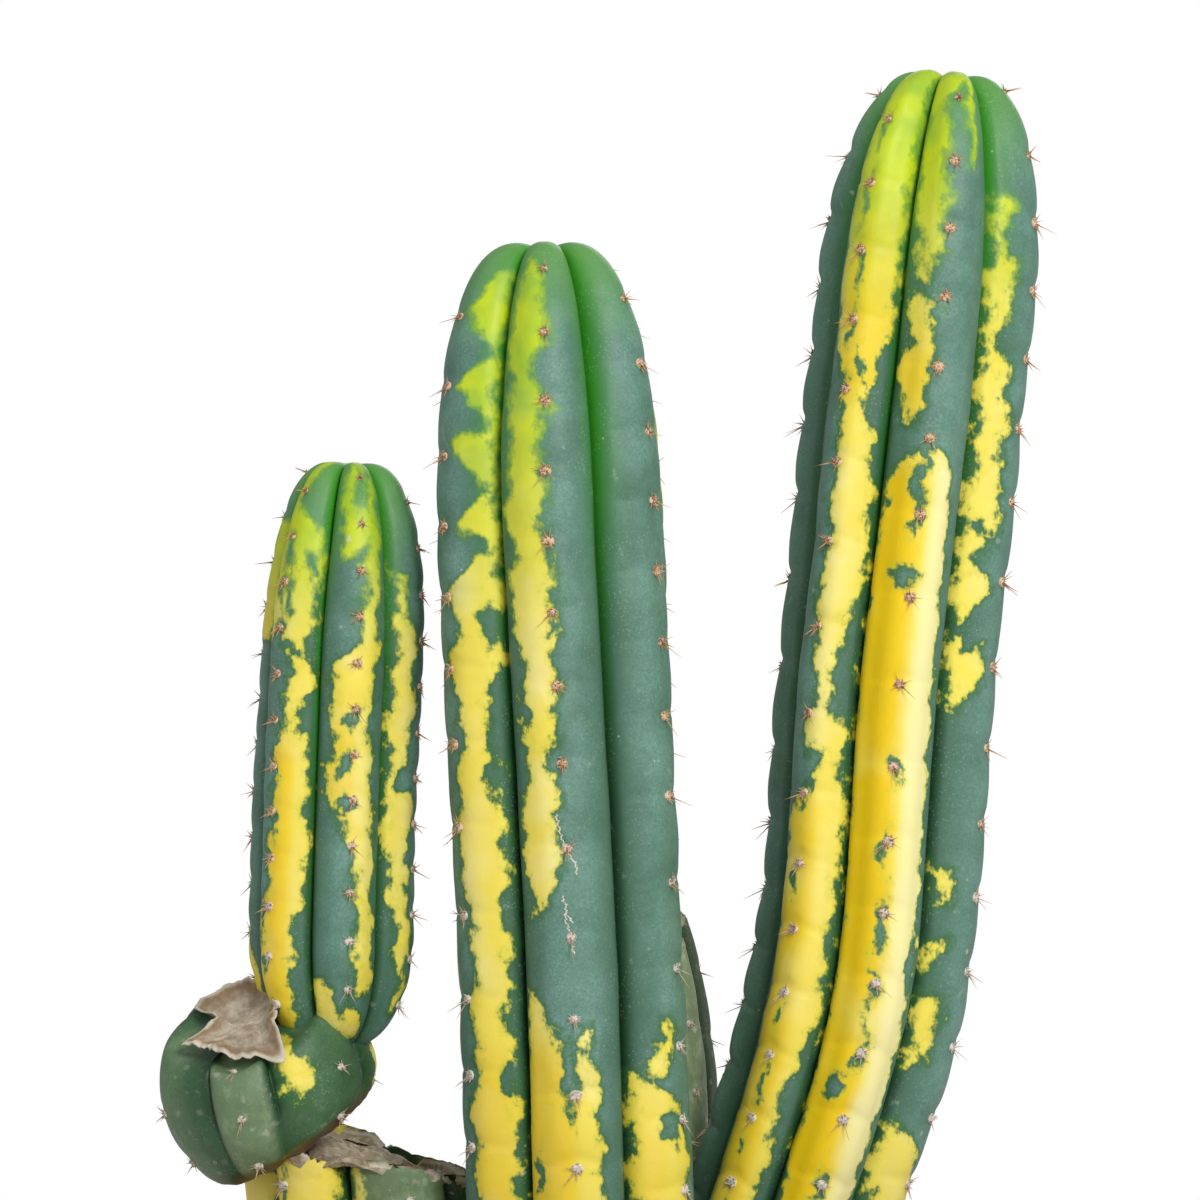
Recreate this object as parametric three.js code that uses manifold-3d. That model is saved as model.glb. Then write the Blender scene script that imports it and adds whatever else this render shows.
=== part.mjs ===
// A potted tall cactus: two tall ribbed columns, a short column standing on a cut pup, and two old
// cut stumps, all rooted in one plain tapered clay pot. Millimetres, +Z up. The pot stands on z = 0
// and its axis is x = y = 0; the plant faces -Y.
import * as THREE from "three";
import { mergeVertices } from "three/addons/utils/BufferGeometryUtils.js";
import Module from "manifold-3d";

const wasm = await Module();
wasm.setup();

// ---------------------------------------------------------------- driving dimensions
const TOUCH_GAP = 0.4; // left between two pieces that press on each other

const POT_HEIGHT = 215;
const RIM_RADIUS = 140; // outside of the rim band
const RIM_HEIGHT = 40; // depth of the rim band
const RIM_STEP = 6; // how far the band stands out from the wall below it
const FOOT_RADIUS = 98; // outside of the wall at the ground
const WALL = 9;
const FLOOR = 13;
const EDGE_ROUND = 3; // rounding of the pot's outer edges
const DRAIN_RADIUS = 14;

const SOIL_BELOW_RIM = 25;
const SOIL_MOUND = 3; // how much higher the soil is in the middle than at the wall
const ROOT_DEPTH = 45; // how far a stem goes down into the soil
const RIB_FADE = 90; // over this length the ribs of a rooted stem grow out of its round old foot

const MIDDLE_HEIGHT = 348; // stem heights are measured up from the soil
const MIDDLE_RADIUS = 37; // stem radii are from the axis to the crest of a rib
const RIGHT_HEIGHT = 401;
const RIGHT_RADIUS = 34.5;
const OLD_HEIGHT = 70; // the cut stumps are measured to the middle of their cuts
const OLD_RADIUS = 38;
const REAR_HEIGHT = 140;
const REAR_RADIUS = 34.5;
const PUP_LENGTH = 63; // the squat pup, from its neck on the old stump to its top
const PUP_RADIUS = 33;
const SHORT_LENGTH = 176; // the short column, from its neck on the pup to its tip
const SHORT_RADIUS = 25.5;

const RIB_COUNT = 6;
const RIB_DEPTH = 12.5; // from crest to groove on the tall columns and the old stump
const SMALL_RIB_DEPTH = 8.5; // on the short column and the rear stump
const SQUAT_RIB_DEPTH = 4.5; // on the pup

// ---------------------------------------------------------------- fineness of the facets
const FACETS_PER_RIB = 6;
const RING_SPACING = 26; // along the straight stretch of a stem
const POT_FACETS = 56;
const SOIL_FACETS = 48;

// ---------------------------------------------------------------- solids and cuts
function solidFrom(geometry) {
  const bare = geometry.clone();
  bare.deleteAttribute("normal");
  bare.deleteAttribute("uv");
  const merged = mergeVertices(bare, 1e-3);
  return new wasm.Manifold(
    new wasm.Mesh({
      numProp: 3,
      vertProperties: new Float32Array(merged.attributes.position.array),
      triVerts: new Uint32Array(merged.index.array),
    }),
  );
}

function geometryFrom(solid) {
  const mesh = solid.getMesh();
  const geometry = new THREE.BufferGeometry();
  geometry.setAttribute("position", new THREE.BufferAttribute(mesh.vertProperties, 3));
  geometry.setIndex(new THREE.BufferAttribute(mesh.triVerts, 1));
  return geometry.toNonIndexed();
}

// ---------------------------------------------------------------- ribbed stems
// How far a rib stands out of its groove: across is 0 on the crest and 1 or -1 in the grooves.
const ribSwell = (across) => Math.sqrt(1 - Math.abs(across) ** 2.6);

// How full a growing tip is, fromTip millimetres below its top.
const tipFullness = (fromTip, tipLength) =>
  (1 - (1 - Math.min(fromTip / tipLength, 1)) ** 2.2) ** (1 / 3);

// How full a stem is just above its foot or neck, which is narrow and grows out over footLength.
const footFullness = (fromFoot, footLength, neck) => {
  const share = Math.min(fromFoot / footLength, 1);
  return neck + (1 - neck) * Math.sqrt(1 - (1 - share) ** 2);
};

// The distances along a stem at which it has a ring: close together at its two ends.
function ringPlaces(length) {
  const ends = [1.5, 5, 11, 20, 32, 46].filter((place) => place < length / 2 - 4);
  const last = ends[ends.length - 1];
  const steps = Math.max(1, Math.round((length - 2 * last) / RING_SPACING));
  const between = Array.from({ length: steps - 1 }, (_, i) => last + ((i + 1) * (length - 2 * last)) / steps);
  return [...ends, ...between, ...ends.map((place) => length - place).reverse()];
}

// A stem is a lobed section carried along a curved axis, from its foot to its tip. turn is the angle
// in degrees by which its front rib is turned from -Y towards +X; ribsAtFoot is the share of its rib
// depth that it has at its foot; grow makes all of it fatter.
function stemSolid(stem, grow = 0) {
  const { axis, radius, ribDepth, ribsAtFoot, turn, tipLength, footLength, neck } = stem;
  const curve = new THREE.CatmullRomCurve3(axis.map((point) => new THREE.Vector3(...point)));
  const length = curve.getLength();
  const around = RIB_COUNT * FACETS_PER_RIB;
  const points = [];
  const triangles = [];
  const addPoint = (point) => points.push(point.x, point.y, point.z) / 3 - 1;

  const foot = curve.getPointAt(0).addScaledVector(curve.getTangentAt(0), -grow);
  const tip = curve.getPointAt(1).addScaledVector(curve.getTangentAt(1), grow);
  const footPole = addPoint(foot);
  const rings = ringPlaces(length).map((place) => {
    const centre = curve.getPointAt(place / length);
    const up = curve.getTangentAt(place / length);
    const right = new THREE.Vector3(1, 0, 0).addScaledVector(up, -up.x).normalize();
    const front = new THREE.Vector3().crossVectors(right, up);
    const fullness = tipFullness(length - place, tipLength) * footFullness(place, footLength, neck);
    const ribs = ribDepth * (ribsAtFoot + (1 - ribsAtFoot) * Math.min(place / RIB_FADE, 1));
    return Array.from({ length: around }, (_, i) => {
      const ribShare = (i % FACETS_PER_RIB) / FACETS_PER_RIB;
      const across = ribShare < 0.5 ? 2 * ribShare : 2 * ribShare - 2;
      const reach = fullness * (radius - ribs * (1 - ribSwell(across))) + grow;
      const angle = THREE.MathUtils.degToRad(turn) + (2 * Math.PI * i) / around;
      const point = centre.clone().addScaledVector(front, reach * Math.cos(angle));
      return addPoint(point.addScaledVector(right, reach * Math.sin(angle)));
    });
  });
  const tipPole = addPoint(tip);

  for (let i = 0; i < around; i++) {
    const next = (i + 1) % around;
    const lowest = rings[0];
    const highest = rings[rings.length - 1];
    triangles.push(footPole, lowest[next], lowest[i], tipPole, highest[i], highest[next]);
    for (let k = 1; k < rings.length; k++) {
      const [below, above] = [rings[k - 1], rings[k]];
      triangles.push(below[i], below[next], above[next], below[i], above[next], above[i]);
    }
  }
  const geometry = new THREE.BufferGeometry();
  geometry.setAttribute("position", new THREE.Float32BufferAttribute(points, 3));
  geometry.setIndex(triangles);
  return solidFrom(geometry);
}

// Everything that a knife takes off: a big block beyond the plane through a point that faces the
// given way.
function knifeBlock(point, facing) {
  const size = 400;
  const block = new THREE.BoxGeometry(size, size, size);
  block.translate(0, 0, size / 2);
  const normal = new THREE.Vector3(...facing).normalize();
  block.applyQuaternion(new THREE.Quaternion().setFromUnitVectors(new THREE.Vector3(0, 0, 1), normal));
  block.translate(...point);
  return solidFrom(block);
}

// ---------------------------------------------------------------- where everything stands
const soilLevel = POT_HEIGHT - SOIL_BELOW_RIM;
const shoulderHeight = POT_HEIGHT - RIM_HEIGHT;
const shoulderRadius = RIM_RADIUS - RIM_STEP;
const wallSlope = (shoulderRadius - FOOT_RADIUS) / shoulderHeight;
const innerRadius = (z) => FOOT_RADIUS + wallSlope * Math.min(z, shoulderHeight) - WALL;

// The stems stand round the middle column, as far from it as their own sizes ask: closeness is 1
// where two stems would just touch, and bearing is turned in degrees from -Y towards +X.
const along = (foot, [x, y, z]) => [foot[0] + x, foot[1] + y, foot[2] + z];
const middleFoot = [-3, -12, soilLevel];
function footBeside(radius, closeness, bearing) {
  const distance = closeness * (MIDDLE_RADIUS + radius);
  const angle = THREE.MathUtils.degToRad(bearing);
  return along(middleFoot, [distance * Math.sin(angle), -distance * Math.cos(angle), 0]);
}

const middleColumn = {
  axis: [
    along(middleFoot, [0, 0, -ROOT_DEPTH]),
    middleFoot,
    along(middleFoot, [-4, 0, 0.26 * MIDDLE_HEIGHT]),
    along(middleFoot, [-9, 2, 0.57 * MIDDLE_HEIGHT]),
    along(middleFoot, [-13, 3, 0.88 * MIDDLE_HEIGHT]),
    along(middleFoot, [-13.5, 3, MIDDLE_HEIGHT]),
  ],
  radius: MIDDLE_RADIUS,
  ribDepth: RIB_DEPTH,
  ribsAtFoot: 0.25,
  turn: 0,
  tipLength: 85,
  footLength: 100,
  neck: 0.5,
};
const rightFoot = footBeside(RIGHT_RADIUS, 0.73, 128);
const rightColumn = {
  axis: [
    along(rightFoot, [-13, -1, -ROOT_DEPTH]),
    rightFoot,
    along(rightFoot, [23, -1, 0.15 * RIGHT_HEIGHT]),
    along(rightFoot, [43, -3, 0.314 * RIGHT_HEIGHT]),
    along(rightFoot, [50, -4, 0.54 * RIGHT_HEIGHT]),
    along(rightFoot, [58, -5, 0.763 * RIGHT_HEIGHT]),
    along(rightFoot, [68, -5, RIGHT_HEIGHT]),
  ],
  radius: RIGHT_RADIUS,
  ribDepth: RIB_DEPTH,
  ribsAtFoot: 0.25,
  turn: 14,
  tipLength: 78,
  footLength: 190,
  neck: 0.5,
};
const oldFoot = footBeside(OLD_RADIUS, 0.88, -116);
const oldCut = along(oldFoot, [-8, 0, OLD_HEIGHT]);
const oldStump = {
  axis: [along(oldFoot, [4, 0, -ROOT_DEPTH]), oldFoot, oldCut, along(oldCut, [-4, 0, 40])],
  radius: OLD_RADIUS,
  ribDepth: RIB_DEPTH,
  ribsAtFoot: 0.25,
  turn: 20,
  tipLength: 30,
  footLength: 100,
  neck: 0.5,
};
const rearFoot = footBeside(REAR_RADIUS, 1.07, 175);
const rearCut = along(rearFoot, [0, 2, REAR_HEIGHT]);
const rearStump = {
  axis: [along(rearFoot, [0, -2, -ROOT_DEPTH]), rearFoot, rearCut, along(rearCut, [0, 0, 16])],
  radius: REAR_RADIUS,
  ribDepth: SMALL_RIB_DEPTH,
  ribsAtFoot: 0.25,
  turn: 40,
  tipLength: 95,
  footLength: 100,
  neck: 0.5,
};
// The squat pup grew from the edge of the old stump's cut and was itself cut; the short column grew
// from the edge of the pup's cut.
const pupFoot = along(oldCut, [-21, -14, -6]);
const pupLean = [-0.24, -0.02, 0.97];
const pupPlace = (share) => along(pupFoot, pupLean.map((part) => part * share * PUP_LENGTH));
const squatPup = {
  axis: [pupPlace(0), pupPlace(0.5), pupPlace(1)],
  radius: PUP_RADIUS,
  ribDepth: SQUAT_RIB_DEPTH,
  ribsAtFoot: 1,
  turn: -12,
  tipLength: 34,
  footLength: 34,
  neck: 0.3,
};
const pupCut = along(pupPlace(0.5), [-3, -0.36 * PUP_RADIUS, 0.62 * PUP_RADIUS]);
const shortFoot = along(pupPlace(0.5), [0.56 * PUP_RADIUS, -2, 0.38 * PUP_RADIUS]);
const shortColumn = {
  axis: [
    shortFoot,
    along(shortFoot, [-0.5, 0, 0.2 * SHORT_LENGTH]),
    along(shortFoot, [1, 2, 0.45 * SHORT_LENGTH]),
    along(shortFoot, [4, 3, 0.8 * SHORT_LENGTH]),
    along(shortFoot, [5.5, 3, SHORT_LENGTH]),
  ],
  radius: SHORT_RADIUS,
  ribDepth: SMALL_RIB_DEPTH,
  ribsAtFoot: 1,
  turn: 14,
  tipLength: 65,
  footLength: 32,
  neck: 0.3,
};

// ---------------------------------------------------------------- the pot
// The pot's section, from the drain hole out along the ground, up the outside and down the inside.
// thicker moves its inside inwards.
function potSolid(thicker = 0) {
  const lip = WALL + RIM_STEP + thicker; // thickness of the rim band
  const profile = new THREE.Path();
  profile.moveTo(DRAIN_RADIUS, 0);
  profile.lineTo(FOOT_RADIUS - EDGE_ROUND, 0);
  profile.quadraticCurveTo(FOOT_RADIUS, 0, FOOT_RADIUS + wallSlope * EDGE_ROUND, EDGE_ROUND);
  profile.lineTo(shoulderRadius, shoulderHeight);
  profile.lineTo(RIM_RADIUS - EDGE_ROUND, shoulderHeight);
  profile.quadraticCurveTo(RIM_RADIUS - 1, shoulderHeight, RIM_RADIUS - 1, shoulderHeight + EDGE_ROUND);
  profile.lineTo(RIM_RADIUS, POT_HEIGHT - EDGE_ROUND);
  profile.quadraticCurveTo(RIM_RADIUS, POT_HEIGHT, RIM_RADIUS - EDGE_ROUND, POT_HEIGHT);
  profile.lineTo(RIM_RADIUS - lip + EDGE_ROUND, POT_HEIGHT);
  profile.quadraticCurveTo(RIM_RADIUS - lip, POT_HEIGHT, RIM_RADIUS - lip, POT_HEIGHT - EDGE_ROUND);
  profile.lineTo(innerRadius(shoulderHeight) - thicker, shoulderHeight);
  profile.lineTo(innerRadius(FLOOR) - thicker, FLOOR);
  profile.lineTo(DRAIN_RADIUS, FLOOR);
  profile.closePath();
  const lathe = new THREE.LatheGeometry(profile.getPoints(2), POT_FACETS);
  lathe.rotateX(Math.PI / 2);
  return solidFrom(lathe);
}

// ---------------------------------------------------------------- the plant
// Stems that press on each other share the space: each gives way to those listed before it, and
// one that is pressed against the pot gives way to the pot.
const potRoom = potSolid(TOUCH_GAP);
const stems = [
  { name: "middle_column", stem: middleColumn, colour: 0x5f8a6c },
  { name: "right_column", stem: rightColumn, colour: 0xd8c93a },
  { name: "short_column", stem: shortColumn, colour: 0xcfc540 },
  { name: "squat_pup", stem: squatPup, cut: knifeBlock(pupCut, [-0.1, -0.5, 0.85]), colour: 0x4f7a52 },
  { name: "old_stump", stem: oldStump, cut: knifeBlock(oldCut, [0.36, -0.12, 0.92]), colour: 0xb9b048 },
  { name: "rear_stump", stem: rearStump, cut: knifeBlock(rearCut, [0.2, -0.25, 0.95]), colour: 0x6f8a66 },
];
const pressed = []; // the stems so far, each fatter by the gap
for (const entry of stems) {
  let solid = stemSolid(entry.stem);
  if (entry.cut) solid = solid.subtract(entry.cut);
  solid = solid.subtract(potRoom);
  for (const neighbour of pressed) solid = solid.subtract(neighbour);
  let fatter = stemSolid(entry.stem, TOUCH_GAP);
  if (entry.cut) fatter = fatter.subtract(entry.cut.translate([0, 0, TOUCH_GAP]));
  pressed.push(fatter);
  entry.solid = solid;
}

// ---------------------------------------------------------------- the soil
function soilSolid() {
  const bottom = FLOOR + TOUCH_GAP;
  const bend = Math.min(shoulderHeight, soilLevel - 1);
  const onWall = (z) => new THREE.Vector2(innerRadius(z) - TOUCH_GAP, z);
  const profile = [
    new THREE.Vector2(0, bottom),
    onWall(bottom),
    onWall(bend),
    onWall(soilLevel),
    new THREE.Vector2(innerRadius(soilLevel) * 0.7, soilLevel + 0.6 * SOIL_MOUND),
    new THREE.Vector2(0, soilLevel + SOIL_MOUND),
  ];
  const lathe = new THREE.LatheGeometry(profile, SOIL_FACETS);
  lathe.rotateX(Math.PI / 2);
  return pressed.reduce((soil, stem) => soil.subtract(stem), solidFrom(lathe));
}

// ---------------------------------------------------------------- the finished assembly
function piece(name, solid, colour, roughness) {
  const material = new THREE.MeshStandardMaterial({ color: colour, roughness, metalness: 0 });
  const mesh = new THREE.Mesh(geometryFrom(solid), material);
  mesh.name = name;
  return mesh;
}

const pottedCactus = new THREE.Group();
pottedCactus.add(piece("pot", potSolid(), 0xb5693f, 0.85));
pottedCactus.add(piece("soil", soilSolid(), 0x4a3b2e, 0.95));
for (const { name, solid, colour } of stems) pottedCactus.add(piece(name, solid, colour, 0.5));

export default pottedCactus;
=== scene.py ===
"""The finished look of a potted tall cactus: variegated, ribbed stems with woolly areoles and
spines, dried cuts, gritty soil and a clay pot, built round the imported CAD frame."""
import math
import random

import bmesh
import bpy
import numpy as np
from mathutils import Matrix, Vector


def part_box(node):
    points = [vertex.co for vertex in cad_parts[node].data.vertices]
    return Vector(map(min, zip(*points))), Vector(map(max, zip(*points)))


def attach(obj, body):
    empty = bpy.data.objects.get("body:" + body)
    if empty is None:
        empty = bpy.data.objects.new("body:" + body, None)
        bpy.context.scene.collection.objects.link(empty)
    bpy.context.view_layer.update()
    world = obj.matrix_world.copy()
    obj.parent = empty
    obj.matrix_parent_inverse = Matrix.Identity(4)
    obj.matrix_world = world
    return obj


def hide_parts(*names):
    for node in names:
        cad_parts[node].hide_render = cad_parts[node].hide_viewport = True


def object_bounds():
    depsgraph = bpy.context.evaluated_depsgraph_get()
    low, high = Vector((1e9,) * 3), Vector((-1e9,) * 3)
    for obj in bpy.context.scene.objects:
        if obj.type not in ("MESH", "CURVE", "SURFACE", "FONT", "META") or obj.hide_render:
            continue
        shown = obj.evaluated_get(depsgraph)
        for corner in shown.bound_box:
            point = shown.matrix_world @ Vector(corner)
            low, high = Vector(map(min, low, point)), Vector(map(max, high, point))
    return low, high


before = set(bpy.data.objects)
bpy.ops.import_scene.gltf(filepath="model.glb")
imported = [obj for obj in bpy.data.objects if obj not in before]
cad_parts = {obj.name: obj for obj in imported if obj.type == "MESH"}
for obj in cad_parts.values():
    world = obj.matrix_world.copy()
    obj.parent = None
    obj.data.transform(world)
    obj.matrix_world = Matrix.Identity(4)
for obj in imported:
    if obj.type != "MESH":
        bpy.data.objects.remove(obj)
cad_low, cad_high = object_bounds()

MM = 0.001
RIB_COUNT = 6
FACETS_PER_RIB = 28
RIB_FADE = 90.0
ROOT_DEPTH = 45.0
SOIL_BELOW_RIM = 25.0
SOIL_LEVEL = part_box("pot")[1].z / MM - SOIL_BELOW_RIM
FULL_TURN = 6.28  # radians, for bearings that are drawn at random
UPWARD = np.array((0, 0, 1.0))


# ------------------------------------------------------------------ meshes
def mesh_from(bm, name):
    """Turns a finished bmesh into a mesh."""
    mesh = bpy.data.meshes.new(name)
    bm.to_mesh(mesh)
    bm.free()
    return mesh


def spots_of(mesh):
    """Where the mesh's points are, in its own units."""
    spots = np.zeros(len(mesh.vertices) * 3)
    mesh.vertices.foreach_get("co", spots)
    return spots.reshape(-1, 3)


def move_to(mesh, spots):
    """Moves the mesh's points to spots in millimetres."""
    mesh.vertices.foreach_set("co", (spots * MM).ravel())
    mesh.update()


def put_attribute(mesh, name, values):
    """Stores a value for each point, for a finish to read."""
    mesh.attributes.new(name, "FLOAT", "POINT").data.foreach_set("value", values.astype(np.float32))


def add_piece(mesh, name, material, node, smooth=True):
    """Makes a mesh a piece that rides with the part, in place of one of its CAD nodes."""
    mesh.materials.append(material)
    mesh.polygons.foreach_set("use_smooth", [smooth] * len(mesh.polygons))
    piece = bpy.data.objects.new(name, mesh)
    bpy.context.scene.collection.objects.link(piece)
    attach(piece, "root")
    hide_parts(node)


def chain(bm, spots):
    """Joins spots by a line of edges."""
    verts = [bm.verts.new(spot) for spot in spots]
    for first, second in zip(verts, verts[1:]):
        bm.edges.new((first, second))


def spin_round(bm, steps):
    """Spins what a bmesh holds about the upright axis into a shape that faces outwards."""
    bmesh.ops.spin(bm, geom=bm.verts[:] + bm.edges[:], axis=(0, 0, 1), cent=(0, 0, 0), dvec=(0, 0, 0),
                   angle=2 * math.pi, steps=steps, use_merge=True, use_duplicate=False)
    bmesh.ops.remove_doubles(bm, verts=bm.verts, dist=1e-6)
    bmesh.ops.recalc_face_normals(bm, faces=bm.faces)


def unit(way):
    """A direction one long."""
    way = np.array(way, float)
    return way / np.linalg.norm(way)


def smooth_step(value, low, high):
    """0 below low, 1 above high, and an even rise between them."""
    share = np.clip((value - low) / (high - low), 0.0, 1.0)
    return share * share * (3.0 - 2.0 * share)


def within(value, low, high, softness):
    """1 between low and high, falling to 0 over the softness on both sides of each."""
    rise = smooth_step(value, low - softness, low + softness)
    return rise * (1 - smooth_step(value, high - softness, high + softness))


def waves(points, length, seed):
    """Slow unevenness between -1 and 1 over points in millimetres."""
    dice = random.Random(seed)
    total = np.zeros(len(points))
    for octave in range(4):
        way = unit([dice.uniform(-1, 1) for _ in range(3)])
        size = length * 0.62**octave
        total += 0.6**octave * np.sin(points @ way * (2 * math.pi / size) + dice.uniform(0, FULL_TURN))
    return total / 2.0


# ------------------------------------------------------------------ ribbed stems
BARE_FOOT = 8.0  # no areole sits lower than this on its stem
CROWN = 26.0  # the rings of a skin's mesh draw together over this much of the tip
RING_GAP = 1.15
BURIED = ROOT_DEPTH - 8.0  # how much of a rooted stem's mesh is coarse
COARSE_FOOT = 5.0  # and how much of a stem that grows from another
PAST_YOUNG = 300.0  # added below the tip of a cut stem, which has no young skin
# Scuffed skin, as rows of soft_patch.
WORN_PATCHES = [(0, 0, 160, -0.9, 0.8, 1.0), (5, 0, 160, -0.2, 0.6, 0.4)]


def smooth_axis(points, steps=40):
    """A centripetal Catmull-Rom curve through the points, as closely spaced points."""
    points = [np.array(p, float) for p in points]
    padded = [2 * points[0] - points[1], *points, 2 * points[-1] - points[-2]]
    run = []
    for p0, p1, p2, p3 in zip(padded, padded[1:], padded[2:], padded[3:]):
        gaps = [max(np.linalg.norm(b - a) ** 0.5, 1e-4) for a, b in ((p0, p1), (p1, p2), (p2, p3))]
        leave = (p1 - p0) / gaps[0] - (p2 - p0) / (gaps[0] + gaps[1]) + (p2 - p1) / gaps[1]
        arrive = (p2 - p1) / gaps[1] - (p3 - p1) / (gaps[1] + gaps[2]) + (p3 - p2) / gaps[2]
        leave, arrive = leave * gaps[1], arrive * gaps[1]
        for t in np.linspace(0, 1, steps, endpoint=False):
            run.append(
                p1 + leave * t
                + (-3 * p1 + 3 * p2 - 2 * leave - arrive) * t**2
                + (2 * p1 - 2 * p2 + leave + arrive) * t**3
            )
    run.append(points[-1])
    return np.array(run)


class Stem:
    """A lobed section carried along a curved axis. Lengths are millimetres from the foot."""

    def __init__(self, axis, radius, rib_depth, turn, tip_length, foot_length, fresh, first_areoles, spacing,
                 seed, ribs_at_foot=0.25, neck=0.5, scallop=0.55, dimple=3.0, lean=(0,) * RIB_COUNT,
                 grooves=(0,) * RIB_COUNT, ridge=1.0, crease_from=-20.0):
        """spacing gives the gap to the next areole from the distance below the tip. neck is the foot's
        share of the radius, and ribs_at_foot its share of the ribs. fresh is how far the young colours
        reach down. lean shifts each rib's crest, and grooves turns each groove, in degrees. scallop is
        how far the skin swells between areoles, dimple how deep the growing point sits, ridge how hollow
        the ribs' flanks are, and crease_from where the painted shade in the grooves turns dark and sharp."""
        self.run = smooth_axis(axis)
        steps = np.linalg.norm(np.diff(self.run, axis=0), axis=1)
        self.marks = np.concatenate([[0], np.cumsum(steps)])
        self.length = self.marks[-1]
        self.ways = np.gradient(self.run, self.marks, axis=0)
        self.radius, self.rib_depth, self.ribs_at_foot = radius, rib_depth, ribs_at_foot
        self.turn = math.radians(turn)
        self.tip_length, self.foot_length, self.neck, self.fresh = tip_length, foot_length, neck, fresh
        self.dimple, self.ridge, self.crease_from, self.seed = dimple, ridge, crease_from, seed
        self.lean, self.grooves = np.array(lean), np.radians(grooves)
        self.scallop = np.ones(RIB_COUNT) * scallop
        self.areoles = []
        for below_tip in first_areoles:
            rib = []
            while below_tip < self.length - BARE_FOOT:
                rib.append(self.length - below_tip)
                below_tip += spacing(below_tip)
            self.areoles.append(np.array(rib[::-1]))

    def frame_at(self, along):
        """The axis there, and the directions up it, to its right and to its front."""
        centre = np.stack([np.interp(along, self.marks, self.run[:, i]) for i in range(3)], -1)
        up = np.stack([np.interp(along, self.marks, self.ways[:, i]) for i in range(3)], -1)
        up /= np.linalg.norm(up, axis=-1, keepdims=True)
        right = np.array([1.0, 0, 0]) - up * up[:, :1]
        right /= np.linalg.norm(right, axis=-1, keepdims=True)
        return centre, up, right, np.cross(right, up)

    def from_areoles(self, along, rib):
        """For each point, how far it is above the areole below it on its rib, and that gap's length."""
        above, gap = np.zeros(len(along)), np.full(len(along), 20.0)
        for k in range(RIB_COUNT):
            own = rib == k
            lowest, highest = self.areoles[k][0] - 22, self.length + 6
            marks = np.concatenate([[lowest], self.areoles[k], [highest]])
            place = np.clip(np.searchsorted(marks, along[own]) - 1, 0, len(marks) - 2)
            above[own] = along[own] - marks[place]
            gap[own] = marks[place + 1] - marks[place]
        return above, gap

    def skin(self, along, around):
        """Points on the skin. around counts ribs from the front one, so 0.5 is a groove."""
        along, around = np.asarray(along, float), np.asarray(around, float)
        rib = np.floor(around + 0.5).astype(int) % RIB_COUNT
        across_flat = 2 * (around - np.floor(around + 0.5))
        across = across_flat - self.lean[rib]
        across = across / (1 - np.sign(across) * self.lean[rib])
        centre, up, right, front = self.frame_at(along)
        below_tip = self.length - along
        tip = (1 - (1 - np.clip(below_tip / self.tip_length, 0, 1)) ** 2.2) ** (1 / 3)
        share = np.clip(along / self.foot_length, 0, 1)
        foot = self.neck + (1 - self.neck) * np.sqrt(1 - (1 - share) ** 2)
        ribs = self.rib_depth * (
            self.ribs_at_foot + (1 - self.ribs_at_foot) * np.clip(along / RIB_FADE, 0, 1)
        )
        ribs = ribs * (1 + 0.4 * (1 - smooth_step(below_tip, 12, 70)))
        swell = np.sqrt(np.clip(1 - np.abs(across) ** 2.6, 0, 1))
        full = tip * foot
        reach = full * (self.radius - ribs * (1 - swell))
        above, gap = self.from_areoles(along, rib)
        crest = np.clip(1 - across**2, 0, 1)
        hump = 0.5 - 0.5 * np.cos(2 * math.pi * np.clip(above / gap, 0, 1))
        furrow = np.exp(-(((above - 3.4 + 6.0 * np.abs(across)) / 1.7) ** 2)) * (0.3 + 0.7 * crest)
        seat = np.exp(-((np.minimum(above, gap - above) / 2.6) ** 2) - (across / 0.16) ** 2)
        flank = np.exp(-(((np.abs(across) - 0.6) / 0.24) ** 2))
        reach = reach + full * (
            self.scallop[rib] * (0.7 * crest * hump - 0.8 * furrow - 0.9 * seat) - self.ridge * flank
        )
        angle = self.turn + around * (2 * math.pi / RIB_COUNT)
        groove = np.where(across_flat > 0, rib, rib - 1) % RIB_COUNT
        angle = angle + self.grooves[groove] * np.abs(across_flat)
        angle = angle + 0.03 * np.sin(along / 41.0 + self.seed) * smooth_step(below_tip, 20, 90)
        out = front * np.cos(angle)[:, None] + right * np.sin(angle)[:, None]
        points = centre + out * reach[:, None]
        points = points + out * (0.4 * waves(points, 60.0, self.seed))[:, None] * full[:, None]
        near_tip = 1 - smooth_step(below_tip, 0, 28)
        dip = self.dimple * (np.exp(-((reach / 9.0) ** 2)) + 0.8 * near_tip * (1 - swell))
        return points - up * dip[:, None]

    def height_at(self, along):
        """How high the axis is there above the soil."""
        return np.interp(along, self.marks, self.run[:, 2]) - SOIL_LEVEL


def ring_places(length, root):
    """Distances of the rings from the foot: few where buried, close together over the tip."""
    start = root or COARSE_FOOT
    foot = start * (np.arange(1, 9) / 9.0) ** 1.5
    tip = length - CROWN * (np.arange(0, 34) / 34.0)[::-1] ** 2.1
    shaft = np.linspace(start, length - CROWN, int((length - CROWN - start) / RING_GAP), endpoint=False)
    return np.concatenate([foot, shaft, tip[:-1]])


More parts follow.
